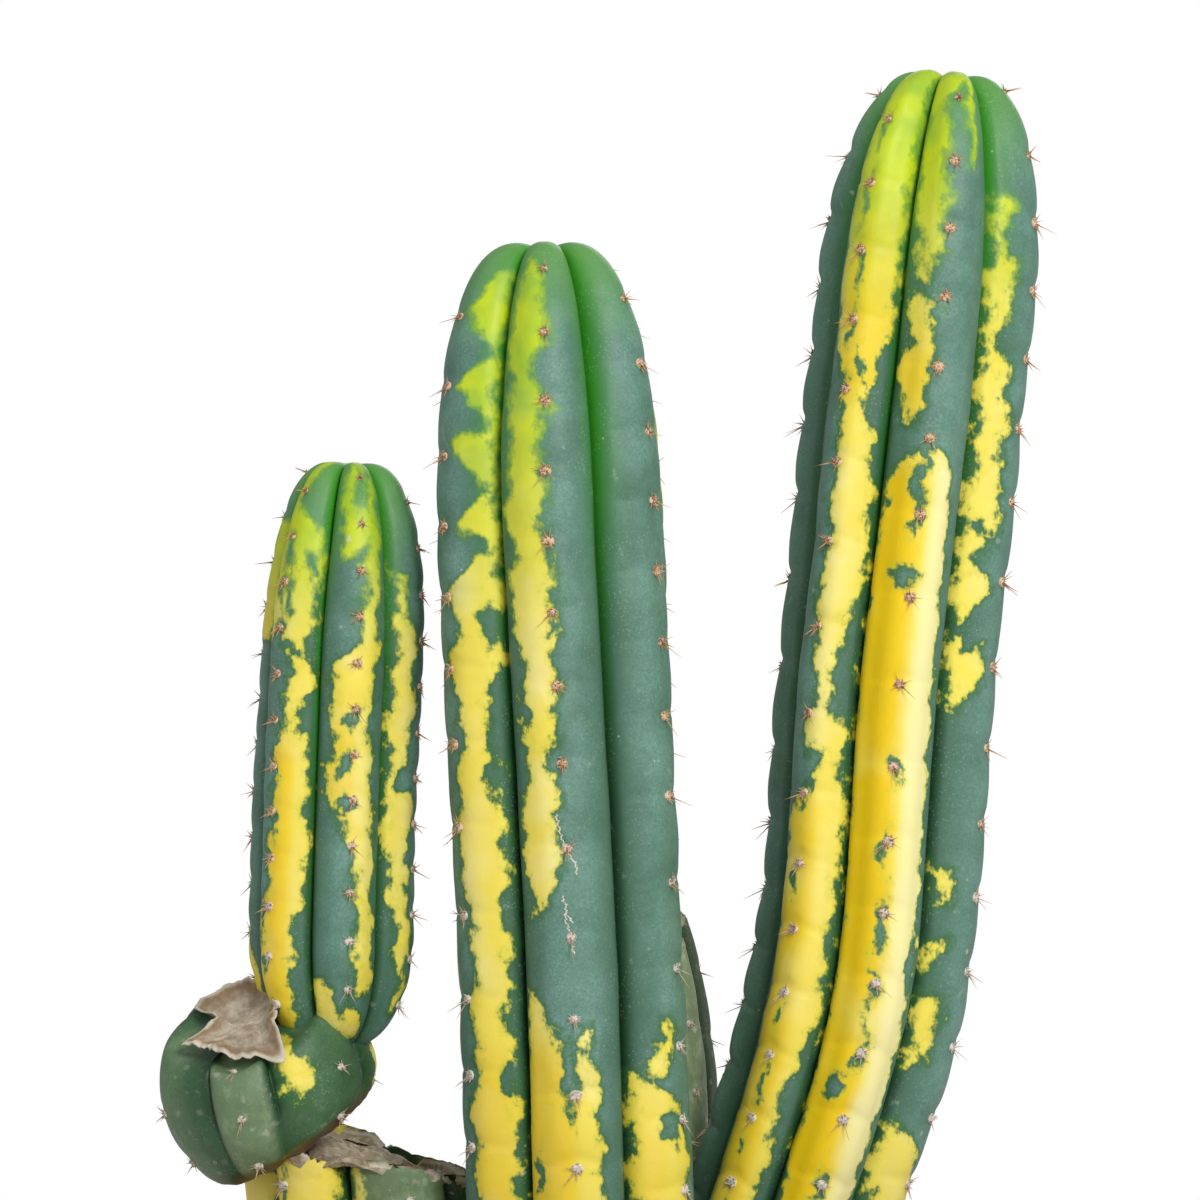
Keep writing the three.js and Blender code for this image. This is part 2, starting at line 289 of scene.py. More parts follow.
def stem_mesh(name, stem, root, paint, gold_and_flank_shading, reshape):
    """Carries a sphere's rings onto the stem's skin and stores what its finish depends on."""
    places = ring_places(stem.length, root)
    rings, around_count = len(places) + 1, RIB_COUNT * FACETS_PER_RIB
    bm = bmesh.new()
    bmesh.ops.create_uvsphere(bm, u_segments=around_count, v_segments=rings, radius=1.0)
    mesh = mesh_from(bm, name)
    ball = spots_of(mesh)
    level = np.rint(np.arccos(np.clip(ball[:, 2], -1, 1)) / math.pi * rings).astype(int)
    along = np.concatenate([[stem.length], places[::-1], [0.0]])[level]
    around = np.mod(np.arctan2(ball[:, 1], ball[:, 0]) / (2 * math.pi) + 0.25, 1.0) * RIB_COUNT
    around = np.rint(around * FACETS_PER_RIB) / FACETS_PER_RIB
    middle_of = np.floor(around + 0.5)
    offset = 2 * (around - middle_of)
    around = middle_of + (0.3 * offset + 0.7 * np.sin(offset * math.pi / 2)) / 2
    pole = (level == 0) | (level == rings)
    around[pole] = 0.0
    points = stem.skin(along, around)
    axis_points, up, _, _ = stem.frame_at(along)
    points[level == 0] = axis_points[level == 0] - up[level == 0] * stem.dimple
    points[level == rings] = axis_points[level == rings]
    marks = {"callus": np.zeros(len(points))}
    if reshape:
        points, marks["callus"] = reshape(points)
    rib = np.floor(around + 0.5).astype(int) % RIB_COUNT
    across = 2 * (around - np.floor(around + 0.5))
    height = points[:, 2] - SOIL_LEVEL
    marks["groove"] = np.abs(across) * (
        0.75 + 0.25 * smooth_step(along, stem.crease_from, stem.crease_from + 14)
    )
    below_tip = stem.length - along + (PAST_YOUNG if reshape else 0.0)
    marks["below_tip"] = below_tip
    marks["fresh"] = 1 - smooth_step(below_tip, 0.25 * stem.fresh, stem.fresh)
    marks["height"] = height
    marks["gold_and_flank_shading"] = soft_patch(rib, across, height, gold_and_flank_shading)
    marks["worn"] = soft_patch(rib, across, height, WORN_PATCHES)
    marks["yellow"] = paint(rib, across, height, points)
    for key, values in marks.items():
        put_attribute(mesh, key, values)
    move_to(mesh, points)
    return mesh


# ------------------------------------------------------------------ variegation
# Each streak of yellow is (rib, [(height above the soil, left edge, right edge), ...]) at its
# turning points, with its edges across the rib from -1, the groove on the left, to 1. An edge past 1
# would be on the next rib. Ribs: 0 faces the front, 1 right, 5 left, and the others are behind. Each
# green island is (rib, height, across, half height, half width): heights in millimetres, widths in
# half ribs. Further small green islands are added under the areoles: partly the skin's own green and
# partly painted shadow cast by the areoles.
MIDDLE_STREAKS = [
    (5, [(337, .8, .95), (326, .15, .95), (313, .9, .95), (303, .22, .95), (293, .86, .95), (284, .2, .95),
         (272, .9, .95), (263, .3, .95), (254, .86, .95), (244, .05, .95), (230, .3, .88), (221, .0, .95),
         (209, .3, .62), (192, .18, .78), (172, .03, .86), (153, .12, .84), (134, .3, .8), (121, .08, .76),
         (110, .28, .78), (87, .06, .86), (72, .22, .84), (8, .1, .6)]),
    (0, [(341, -.5, -.2), (319, -.8, .1), (306, -.66, -.28), (297, -.62, .1), (284, -.6, -.18),
         (272, -.7, .1), (264, -.74, -.16), (254, -.6, .06), (235, -.74, .05), (219, -.48, -.03),
         (206, -.8, -.05), (195, -.46, -.18), (178, -.72, -.12), (160, -.72, -.12), (148, -.58, -.5)]),
    (0, [(124, -.8, -.6), (112, -.84, -.24), (102, -.94, -.2), (94, -.94, .34), (60, -.94, .42),
         (10, -.7, .2)]),
    (0, [(114, .08, .2), (104, .1, .34), (93, .0, .34)]),
    (1, [(117, -.3, -.16), (101, -.64, -.4)]),
    (1, [(100, -.9, -.7), (94, -.92, -.3), (84, -.92, .04), (10, -.8, .2)]),
    (2, [(300, -.5, -.3), (280, -.6, .0), (250, -.3, .1), (226, -.7, -.2), (178, -.3, -.2)]),
    (2, [(150, .3, .5), (120, .0, .6), (84, .2, .8), (10, .0, .6)]),
    (3, [(322, -.2, .2), (290, -.5, .3), (262, -.2, .2), (240, .1, .6), (180, -.1, .7), (120, .3, .4)]),
    (4, [(330, -.3, .1), (300, -.5, .3), (270, -.6, -.1), (232, -.4, .2), (210, -.3, -.1)]),
    (4, [(170, -.1, .3), (130, -.4, .6), (90, -.2, .7), (10, -.3, .3)]),
]
MIDDLE_ISLANDS = [
    (5, 233, .78, 6, .14), (5, 190, .72, 8, .1), (5, 150, .85, 9, .1), (5, 98, .76, 5, .12),
    (0, 209, -.58, 5, .12), (0, 101, -.1, 6, .16), (0, 72, -.65, 5, .09), (1, 84, -.25, 5, .15),
]
RIGHT_STREAKS = [
    (5, [(401, -.2, .9), (378, -.35, .95), (340, -.4, .92), (322, -.3, .86), (302, .04, .52), (288, .16, .7),
         (268, .05, .86), (257, .22, .86), (247, .0, .9), (226, .15, .54), (208, .3, .52), (200, .0, .94),
         (190, .36, .74), (181, -.1, .9), (165, -.44, .9), (140, -.5, .78), (118, -.5, .88), (88, -.52, .5),
         (72, -.54, .68), (8, -.4, .4)]),
    (0, [(401, -.9, .3), (391, -.9, -.38), (356, -.86, -.33), (334, -.6, -.45)]),
    (0, [(398, -.1, .33), (370, .08, .22)]),
    (0, [(330, -.76, -.4), (317, -.74, -.4), (307, -.88, -.28), (293, -.62, -.56)]),
    (0, [(284, -.5, -.15), (276, -.8, .3), (258, -.97, .36), (200, -.97, .55), (100, -.96, .62),
         (74, -.94, .58), (58, -.72, .5), (8, -.4, .4)]),
    (1, [(360, -.94, -.6), (347, -.86, -.72), (333, -.94, -.5), (322, -.9, -.72), (292, -.92, -.44),
         (279, -.84, -.58), (268, -.95, -.36), (252, -.94, -.7), (242, -.94, -.38), (236, -.9, -.78)]),
    (1, [(230, -.96, -.85), (220, -.9, -.3), (207, -.84, -.78)]),
    (1, [(160, -.88, -.62), (150, -.84, -.68)]),
    (1, [(138, -.93, -.7), (131, -.9, -.82)]),
    (1, [(123, -.94, -.8), (113, -.92, -.52), (101, -.84, -.7)]),
    (1, [(84, -.94, -.86), (73, -.94, -.3), (58, -.8, .3), (8, -.5, .4)]),
    (2, [(372, -.6, -.4), (340, -.7, -.1), (300, -.4, .1), (262, -.8, -.3), (236, -.6, .0),
         (190, -.5, -.3)]),
    (2, [(170, .2, .4), (130, -.1, .6), (90, .1, .8), (40, -.2, .6), (8, .0, .4)]),
    (3, [(396, -.5, .2), (320, .0, .7), (270, -.2, .6), (210, .1, .8), (150, -.1, .5), (120, .1, .3)]),
    (3, [(96, -.5, -.2), (70, -.8, .1), (40, -.4, .3), (8, -.3, .2)]),
]
RIGHT_ISLANDS = [
    (5, 310, .38, 5, .08), (5, 191, .22, 6, .2), (5, 262, .08, 6, .1), (0, 274, -.3, 6, .1),
    (0, 247, -.36, 4, .16), (0, 130, .5, 9, .14), (0, 97, -.56, 5, .13), (1, 262, -.8, 2, .15),
]
SHORT_STREAKS = [
    (5, [(282, -.6, .5), (268, -.8, -.05), (259, -.9, .95), (240, -.9, .86), (227, -.8, .7)]),
    (5, [(224, .4, .7), (214, .28, .9), (202, .24, .5), (193, .03, .8), (175, .04, .86), (157, -.1, .88),
         (140, -.34, .6), (119, -.85, .45), (110, -.95, .3)]),
    (0, [(282, -.5, .3), (270, -.62, .0), (260, -.58, .55), (252, -.4, -.1)]),
    (0, [(276, .34, .6), (250, .14, .56), (228, .0, .5), (220, -.58, .48), (202, -.5, .36), (184, -.64, .46),
         (172, -.2, .56), (160, .08, .6), (140, .22, .62), (123, .12, .74)]),
    (0, [(127, -.9, -.42), (117, -.96, .2), (110, -.95, .8)]),
    (1, [(249, -.84, -.7), (243, -.8, -.3), (236, -.76, -.5), (230, -.79, -.16), (222, -.78, -.34),
         (206, -.86, -.25), (190, -.86, -.48), (176, -.85, -.12), (160, -.88, -.38), (148, -.64, -.24),
         (133, -.5, .0), (118, -.3, .05)]),
    (2, [(262, -.5, -.2), (240, -.7, .1), (215, -.4, .3), (190, -.6, .0), (160, -.2, .5), (116, -.3, .2)]),
    (3, [(270, -.3, .3), (250, -.6, .2), (220, -.3, .6), (170, -.4, .5), (140, .0, .6), (120, .0, .3)]),
    (4, [(266, .2, .9), (240, .1, .9), (228, .3, .8)]),
    (4, [(200, -.6, -.3), (170, -.7, .0), (140, -.5, .3), (114, -.3, .9)]),
]
SHORT_ISLANDS = [
    (5, 250, .58, 3, .14), (5, 241, .18, 5, .08), (5, 174, .1, 4, .06), (0, 122, -.14, 6, .16),
    (1, 240, -.36, 6, .2), (1, 187, -.38, 5, .24),
]
PUP_STREAKS = [
    (1, [(110, -.8, -.62), (103, -.93, -.46), (97, -.78, -.54), (92, -.7, -.62)]),
    (2, [(108, -.6, .3), (96, -.5, .4), (62, -.2, .0)]),
    (4, [(100, -.4, .3), (80, -.2, .5), (66, .0, .2)]),
]
OLD_STREAKS = [
    (5, [(84, -.7, .8), (60, -.75, .85), (30, -.7, .7), (5, -.6, .6)]),
    (0, [(84, -.9, -.7), (60, -.9, -.74), (22, -.7, -.1), (5, -.5, .0)]),
    (4, [(84, .3, .8), (50, .1, .85), (5, .3, .5)]),
    (3, [(84, -.5, .1), (54, -.6, .3), (30, -.2, .1)]),
]
OLD_ISLANDS = [(5, 60, .0, 8, .07), (5, 36, .1, 7, .12), (5, 62, -.5, 6, .06)]
REAR_STREAKS = [
    (3, [(100, -.4, .0), (60, -.6, .3), (20, -.3, .2)]),
    (0, [(60, -.7, -.3), (30, -.8, .1), (8, -.5, .0)]),
]


def areole_flecks_and_shadows(stem, ribs, tallest, widest, seed):
    """Small green islands under the areoles of some ribs, each as a row of the lists above: partly the
    skin's own green, partly painted shadow cast by the areoles.
    """
    dice = random.Random(seed)
    rows = []
    for rib in ribs:
        for height in stem.height_at(stem.areoles[rib]):
            half_height, half_width = tallest * dice.uniform(0.35, 1.0), widest * dice.uniform(0.35, 1.0)
            across = stem.lean[rib] + dice.uniform(-1.1, 0.6) * widest
            if dice.random() < 0.85:
                rows.append((rib, height - 0.6 * half_height, across, half_height, half_width))
    return rows


FARTHEST = 12.0  # how far inside or outside the yellow is still told apart


def offset_from(rib, across, row_rib):
    """How far each point is from the crest of row_rib, in half ribs, whichever rib it is on."""
    around = across + 2 * (rib - row_rib)
    return np.mod(around + RIB_COUNT, 2 * RIB_COUNT) - RIB_COUNT


def yellow_field(streaks, islands, half_width):
    """Returns a painter whose field is how far inside the yellow each point is, in millimetres.
    half_width is the skin from crest to groove."""

    def paint(rib, across, height, points):
        across = across + (1.9 * waves(points, 15.0, 71) + 1.0 * waves(points, 6.0, 72)) / half_width
        height = height + 2.2 * waves(points, 17.0, 73) + 1.1 * waves(points, 7.0, 74)
        field = np.full(len(height), -FARTHEST)
        for row_rib, edges in streaks:
            offset = offset_from(rib, across, row_rib)
            levels, left, right = np.array(edges[::-1], float).T
            left_edge, right_edge = np.interp(height, levels, left), np.interp(height, levels, right)
            sideways = np.minimum(offset - left_edge, right_edge - offset) * half_width
            lengthways = np.minimum(height - levels[0], levels[-1] - height)
            field = np.maximum(field, np.minimum(sideways, lengthways))
        for row_rib, level, centre, half_height, half_span in islands:
            offset = offset_from(rib, across, row_rib)
            span = max(half_span * half_width, 0.9)
            far = np.hypot((height - level) / half_height, (offset - centre) * half_width / span)
            field = np.minimum(field, (far - 1) * min(half_height, span) * 1.7 - 0.3)
        return np.clip(field, -FARTHEST, FARTHEST)

    return paint


def soft_patch(rib, across, height, rows):
    """How strongly each point is in any of the rows (rib, low, high, left, right, strength)."""
    strength = np.zeros(len(height))
    for row_rib, low, high, left, right, most in rows:
        offset = offset_from(rib, across, row_rib)
        side = within(offset, left, right, 0.12)
        level = within(height, low, high, 10)
        strength = np.where(np.abs(most * side * level) > np.abs(strength), most * side * level, strength)
    return strength


# Patches of deeper golden yellow, or where the strength is below zero of paler cream, as rows of soft_patch.
# The golden patches are partly the yellow's own tone and partly painted shade on flanks turned from the
# light; the cream is painted light on flanks turned towards it.
MIDDLE_GOLD = [
    (0, 0, 108, -1, .0, .7), (5, 0, 106, 0, 1, .5), (1, 0, 90, -1, -.4, .4), (2, 0, 200, -1, 1, .5),
    (4, 0, 200, -1, 1, .5),
]
# On the right stem the front rib's golden left half is painted shade and its cream right half is painted
# light, as if lit from the right.
RIGHT_GOLD_AND_FLANK_SHADING = [
    (0, 0, 284, -1, -.2, 1.0), (0, 0, 284, -.1, 1, -.9), (5, 0, 182, -1, .45, .75),
    (5, 300, 368, -.1, .9, .7), (0, 296, 316, -.9, -.2, .7), (2, 0, 300, -.2, .8, .6),
    (3, 0, 300, -1, .2, .7),
]
SHORT_GOLD = [(5, 0, 200, -1, .5, .8), (0, 170, 206, -1, .0, .6), (4, 0, 260, -1, 1, .4)]
OLD_GOLD = [(5, 0, 90, -1, 1, .3)]


# ------------------------------------------------------------------ materials
class Num:
    """A number inside a material: Python's operators on it add Math nodes."""

    def __init__(self, finish, socket):
        self.finish, self.socket = finish, socket

    def _do(self, operation, first, second=0.0, third=None, clamp=False):
        sockets = {0: first, 1: second}
        if third is not None:
            sockets[2] = third
        made = self.finish.node("ShaderNodeMath", {"operation": operation, "use_clamp": clamp}, sockets)
        return Num(self.finish, made.outputs[0])

    def __add__(self, other):
        return self._do("ADD", self, other)

    __radd__ = __add__

    def __sub__(self, other):
        return self._do("SUBTRACT", self, other)

    def __rsub__(self, other):
        return self._do("SUBTRACT", other, self)

    def __mul__(self, other):
        return self._do("MULTIPLY", self, other)

    __rmul__ = __mul__

    def __truediv__(self, other):
        return self._do("DIVIDE", self, other)

    def between(self, low, high):
        """0 below low, 1 above high, and a straight rise between them."""
        return self._do("MULTIPLY_ADD", self, 1.0 / (high - low), -low / (high - low), clamp=True)


class Finish:
    """A material while it is being put together."""

    def __init__(self, name):
        self.material = bpy.data.materials.new(name)
        self.material.use_nodes = True
        self.tree = self.material.node_tree
        self.tree.nodes.clear()
        self.shader = self.node("ShaderNodeBsdfPrincipled")
        self.node("ShaderNodeOutputMaterial", {}, {"Surface": self.shader.outputs["BSDF"]})
        self.place = self.node("ShaderNodeTexCoord").outputs["Object"]

    def node(self, kind, settings=None, sockets=None):
        """A node of a kind, with its settings and then its sockets' values or links."""
        made = self.tree.nodes.new(kind)
        for key, value in (settings or {}).items():
            setattr(made, key, value)
        for key, value in (sockets or {}).items():
            self.feed(made.inputs[key], value)
        return made

    def feed(self, socket, value):
        """Links a socket to what varies, or sets it to a plain value."""
        value = value.socket if isinstance(value, Num) else value
        if isinstance(value, bpy.types.NodeSocket):
            self.tree.links.new(value, socket)
        else:
            socket.default_value = value

    def attribute(self, name):
        """A value stored on the piece's points."""
        return Num(self, self.node("ShaderNodeAttribute", {"attribute_name": name}).outputs["Fac"])

    def stretched(self, scale):
        """The place, scaled: below one draws a pattern out that way."""
        made = self.node("ShaderNodeMapping", {}, {"Vector": self.place, "Scale": scale})
        return made.outputs["Vector"]

    def warped(self, amount):
        """The place, shaken by amount millimetres so that round shapes come out uneven."""
        shake = self.node("ShaderNodeTexNoise", {}, {"Vector": self.place, "Scale": 400.0}).outputs["Color"]
        sockets = {0: shake, 1: (0.5, 0.5, 0.5)}
        centred = self.node("ShaderNodeVectorMath", {"operation": "SUBTRACT"}, sockets).outputs[0]
        sockets = {0: centred, "Scale": amount * MM}
        scaled = self.node("ShaderNodeVectorMath", {"operation": "SCALE"}, sockets).outputs[0]
        return self.node("ShaderNodeVectorMath", {"operation": "ADD"}, {0: self.place, 1: scaled}).outputs[0]

    def noise(self, size, detail=3.0, roughness=0.55, vector=None):
        """Noise between 0 and 1 whose blotches are about size millimetres across."""
        sockets = {"Vector": vector or self.place, "Scale": 1.0 / (size * MM), "Detail": detail,
                   "Roughness": roughness}
        return Num(self, self.node("ShaderNodeTexNoise", {}, sockets).outputs[0])

    def cells(self, size, vector=None):
        """Distance to the nearest of many points about size millimetres apart, in spacings."""
        sockets = {"Vector": vector or self.place, "Scale": 1.0 / (size * MM)}
        return Num(self, self.node("ShaderNodeTexVoronoi", {}, sockets).outputs["Distance"])

    def mix(self, first, second, share):
        """From the first colour to the second."""
        first = (*first, 1.0) if isinstance(first, tuple) else first
        second = (*second, 1.0) if isinstance(second, tuple) else second
        made = self.node("ShaderNodeMix", {"data_type": "RGBA"}, {0: share, 6: first, 7: second})
        return made.outputs[2]

    def bump(self, height, distance, strength=1.0, under=None):
        """Relief as deep as distance millimetres, over the relief under it."""
        sockets = {"Height": height, "Distance": distance * MM, "Strength": strength}
        if under:
            sockets["Normal"] = under
        return self.node("ShaderNodeBump", {}, sockets).outputs["Normal"]

    def finish(self, **sockets):
        """Feeds the shader's sockets and gives the material."""
        for key, value in sockets.items():
            self.feed(self.shader.inputs[key.replace("_", " ").title()], value)
        return self.material


LEMON = (0.93, 0.77, 0.10)
CREAM = (0.97, 0.89, 0.42)
GOLD = (0.92, 0.63, 0.004)
LIME = (0.55, 0.70, 0.010)
YOUNG_LIME = (0.33, 0.56, 0.03)
GREEN_YELLOW = (0.62, 0.62, 0.05)
DARK_GREEN = (0.050, 0.135, 0.078)
GLAUCOUS = (0.180, 0.350, 0.290)
FRESH_GREEN = (0.135, 0.37, 0.075)
# Painted light for the upper grooves, then painted shade for deep in the grooves.
LIT_GROOVE = (0.045, 0.34, 0.008)
PAINTED_GROOVE_SHADE = (0.010, 0.05, 0.012)
EDGE_GREEN = (0.038, 0.15, 0.028)
CORK = (0.30, 0.22, 0.13)
DRY_SKIN = (0.42, 0.33, 0.22)
DRY_RIM = (0.74, 0.67, 0.53)
DRY_SHADE = (0.17, 0.10, 0.06)
RUST = (0.17, 0.075, 0.035)
YOUNG_RIM = (0.32, 0.52, 0.02)
PALE_NET = (0.50, 0.62, 0.52)
PALE_DOTS = (0.60, 0.66, 0.54)
RUBBED_GREEN = (0.34, 0.50, 0.38)
SCAB = (0.70, 0.66, 0.54)
WORN_GREEN = (0.50, 0.62, 0.34)
CORKY_SPOTS = (0.80, 0.77, 0.66)


def cactus_skin(name, dark=DARK_GREEN, light=GLAUCOUS, wear=0.0):
    """Waxy ribbed skin: ragged yellow sectors in glaucous green, with dried callus and corky foot. It
    has painted shade in its grooves and on flanks turned from the light, and painted light on the
    crests, the upper grooves and the flanks turned towards it.
    wear is how scuffed and spotted the skin has become."""
    f = Finish(name)
    yellow, groove, gold_and_flank_shading = f.attribute("yellow"), f.attribute("groove"), f.attribute("gold_and_flank_shading")
    below_tip, height, callus = f.attribute("below_tip"), f.attribute("height"), f.attribute("callus")
    drawn_out = f.stretched((1.0, 1.0, 0.7))
    rag = (f.noise(5.0, 2.0, 0.6, drawn_out) - 0.5) * 4.5
    fine_rag = (f.noise(1.4, 3.0, 0.6, drawn_out) - 0.5) * 4.6
    field = yellow + rag + fine_rag
    newness = f.attribute("fresh")
    is_yellow = ((field + 0.6 + newness * 0.9) / (1.4 + newness * 2.2)).between(0.0, 1.0)
    edge = field.between(-3.0, -0.6)
    tone = f.noise(20.0, 2.0)
    # Cream on random patches, kept out of the grooves: partly the yellow's own tone, partly a painted
    # highlight along the crests.
    ripe = f.mix(LEMON, CREAM, tone.between(0.42, 0.7) * (1 - groove.between(0.3, 0.9)) * 0.7)
    # Deeper golden yellow where the golden mark is above zero: partly the yellow's own tone, partly painted
    # shade on flanks turned from the light.
    ripe = f.mix(ripe, GOLD, gold_and_flank_shading.between(0.0, 1.0) * f.noise(26.0, 1.0).between(0.2, 0.45))
    # Paler cream where that mark is below zero: painted light on flanks turned towards the light.
    ripe = f.mix(ripe, CREAM, (gold_and_flank_shading * -1.0).between(0.0, 1.0))
    ripe = f.mix(ripe, f.mix(LIME, YOUNG_LIME, f.noise(13.0, 2.0).between(0.4, 0.66)), newness * 0.95)
    rim = f.mix(GREEN_YELLOW, YOUNG_RIM, newness)
    ripe = f.mix(ripe, rim, (1 - field.between(0.2, 2.6)) * 0.55)
    grain = f.noise(0.8, 2.0, 0.6).between(0.3, 0.68)
    clouds = f.noise(8.0, 4.0, 0.65).between(0.3, 0.7)
    # Glaucous green where the waxy bloom lies, falling to dark green towards the grooves: partly the bloom
    # itself, partly painted shade in the grooves.
    wax_bloom_and_groove_shade = (1 - groove.between(0.35, 0.95)) * (0.25 + clouds * 0.35 + tone.between(0.3, 0.65) * 0.4)
    wax_bloom_and_groove_shade = wax_bloom_and_groove_shade * (0.62 + grain * 0.5)
    green = f.mix(dark, light, wax_bloom_and_groove_shade)
    tip_glow = 1 - below_tip.between(4.0, 34.0)
    green = f.mix(green, FRESH_GREEN, (tip_glow * 0.85).between(0.0, 1.0))
    near_top = 1 - below_tip.between(40.0, 170.0)
    # Painted light: brighter green towards the grooves of the young skin.
    green = f.mix(green, LIT_GROOVE, groove.between(0.5, 0.92) * newness * 0.6)
    # Painted shade deep in the grooves, turning to painted light near the top of the stem.
    in_groove = groove.between(0.84, 0.98)
    green = f.mix(green, f.mix(PAINTED_GROOVE_SHADE, LIT_GROOVE, near_top), in_groove * 0.85)
    green = f.mix(green, f.mix(EDGE_GREEN, FRESH_GREEN, newness * 0.8), edge * 0.75)
    skin = f.mix(green, ripe, is_yellow)
    net = (1 - f.cells(1.1).between(0.12, 0.30)) * f.noise(11.0, 2.0).between(0.42, 0.62)
    skin = f.mix(skin, PALE_NET, net * 0.24 * (1 - is_yellow))
    dots = (1 - f.cells(4.2).between(0.05, 0.11)) * f.noise(10.0, 2.0).between(0.54, 0.64)
    skin = f.mix(skin, PALE_DOTS, dots * 0.5 * (1 - is_yellow * 0.7))
    rubs = f.noise(5.5, 5.0, 0.75, drawn_out).between(0.62, 0.74)
    skin = f.mix(skin, RUBBED_GREEN, rubs * 0.5 * (1 - is_yellow))
    scabs = 1 - f.cells(15.0, f.warped(2.0)).between(0.045, 0.07)
    skin = f.mix(skin, SCAB, scabs * f.noise(38.0).between(0.52 - wear * 0.2, 0.62) * 0.55)
    if wear:
        worn = f.attribute("worn") * wear
        scuffs = f.noise(4.5, 4.0, 0.7, f.stretched((1.0, 1.0, 0.6))).between(0.48, 0.7)
        skin = f.mix(skin, WORN_GREEN, worn * (0.5 + scuffs * 0.5))
        spots = (1 - f.cells(5.5, f.warped(2.5)).between(0.15, 0.26)) * f.noise(16.0).between(0.42, 0.52)
        skin = f.mix(skin, CORKY_SPOTS, spots * wear * (0.25 + worn * 0.7))
        skin = f.mix(skin, CORK, f.noise(8.0, 4.0, 0.7).between(0.6, 0.72) * wear * 0.35)
    cork = (1 - height.between(2.0, 34.0)) * (f.noise(6.0, 4.0, 0.7) * 2.0 - 0.35)
    skin = f.mix(skin, CORK, cork.between(0.1, 0.6))
    rust = (callus * -1.0).between(0.1, 1.0) * (0.55 + f.noise(3.0, 4.0, 0.7).between(0.3, 0.7) * 0.4)
    skin = f.mix(skin, RUST, rust)
    dry = f.mix(DRY_SKIN, DRY_SHADE, f.noise(4.0, 4.0, 0.7).between(0.52, 0.74))
    dry = f.mix(dry, DRY_RIM, f.noise(2.6, 3.0, 0.6).between(0.46, 0.66) * 0.7)
    dry = f.mix(dry, DRY_RIM, callus.between(0.25, 0.5) * (1 - callus.between(0.6, 0.85)))
    skin = f.mix(skin, dry, callus.between(0.15, 0.35))
    pores = f.noise(0.8, 2.0, 0.5) + f.noise(0.35, 1.0, 0.5) * 0.5
    normal = f.bump(pores, 0.08, 0.35)
    normal = f.bump(f.noise(4.5, 4.0, 0.65), 0.5, 0.3, normal)
    normal = f.bump(cork.between(0.1, 0.6) * f.noise(1.6, 5.0, 0.8), 1.2, 0.8, normal)
    normal = f.bump(callus.between(0.1, 0.4) * f.noise(2.6, 5.0, 0.75), 1.4, 0.9, normal)
    rough = 0.42 + wax_bloom_and_groove_shade * 0.10 + callus.between(0.2, 0.4) * 0.35 + f.noise(3.0) * 0.06
    f.shader.inputs["Subsurface Weight"].default_value = 0.1
    f.shader.inputs["Specular IOR Level"].default_value = 0.35
    f.shader.inputs["Subsurface Radius"].default_value = (0.004, 0.004, 0.001)
    return f.finish(base_color=skin, roughness=rough, normal=normal, coat_weight=0.03, coat_roughness=0.3)


SKIN = cactus_skin("cactus_skin")
PUP_SKIN = cactus_skin("pup_skin", (0.026, 0.085, 0.034), (0.110, 0.225, 0.110), 0.45)
OLD_SKIN = cactus_skin("old_skin", (0.040, 0.090, 0.030), (0.110, 0.190, 0.090), 0.4)
REAR_SKIN = cactus_skin("rear_skin", (0.030, 0.070, 0.022), (0.110, 0.190, 0.085), 0.9)


def areole_wool():
    """Felted wool: pinkish tan when young, greyer with age, brown where spines rise from it."""
    f = Finish("areole_wool")
    age, root = f.attribute("age"), f.attribute("root")
    wool = f.mix((0.82, 0.56, 0.36), (0.80, 0.74, 0.64), age)
    wool = f.mix(wool, (0.16, 0.06, 0.025), f.noise(0.9, 2.0, 0.6).between(0.52, 0.62) * (0.85 - age * 0.5))
    wool = f.mix(wool, (0.26, 0.11, 0.05), root.between(0.1, 1.0) * (0.75 - age * 0.35))
    normal = f.bump(f.noise(0.3, 3.0, 0.7), 0.2, 0.8)
    return f.finish(base_color=wool, roughness=0.95, normal=normal, sheen_weight=0.3)


def spine_horn():
    """Horny spines: dark at the foot, amber along the shaft and brown at the point."""
    f = Finish("spine_horn")
    along, age = f.attribute("along"), f.attribute("age")
    horn = f.mix((0.16, 0.06, 0.02), (0.66, 0.36, 0.14), along.between(0.02, 0.4))
    horn = f.mix(horn, (0.36, 0.15, 0.06), along.between(0.6, 1.0))
    horn = f.mix(horn, (0.55, 0.48, 0.40), age * 0.6)
    horn = f.mix(horn, (0.30, 0.10, 0.05), f.noise(0.8).between(0.5, 0.7) * 0.4)
    return f.finish(base_color=horn, roughness=0.5)


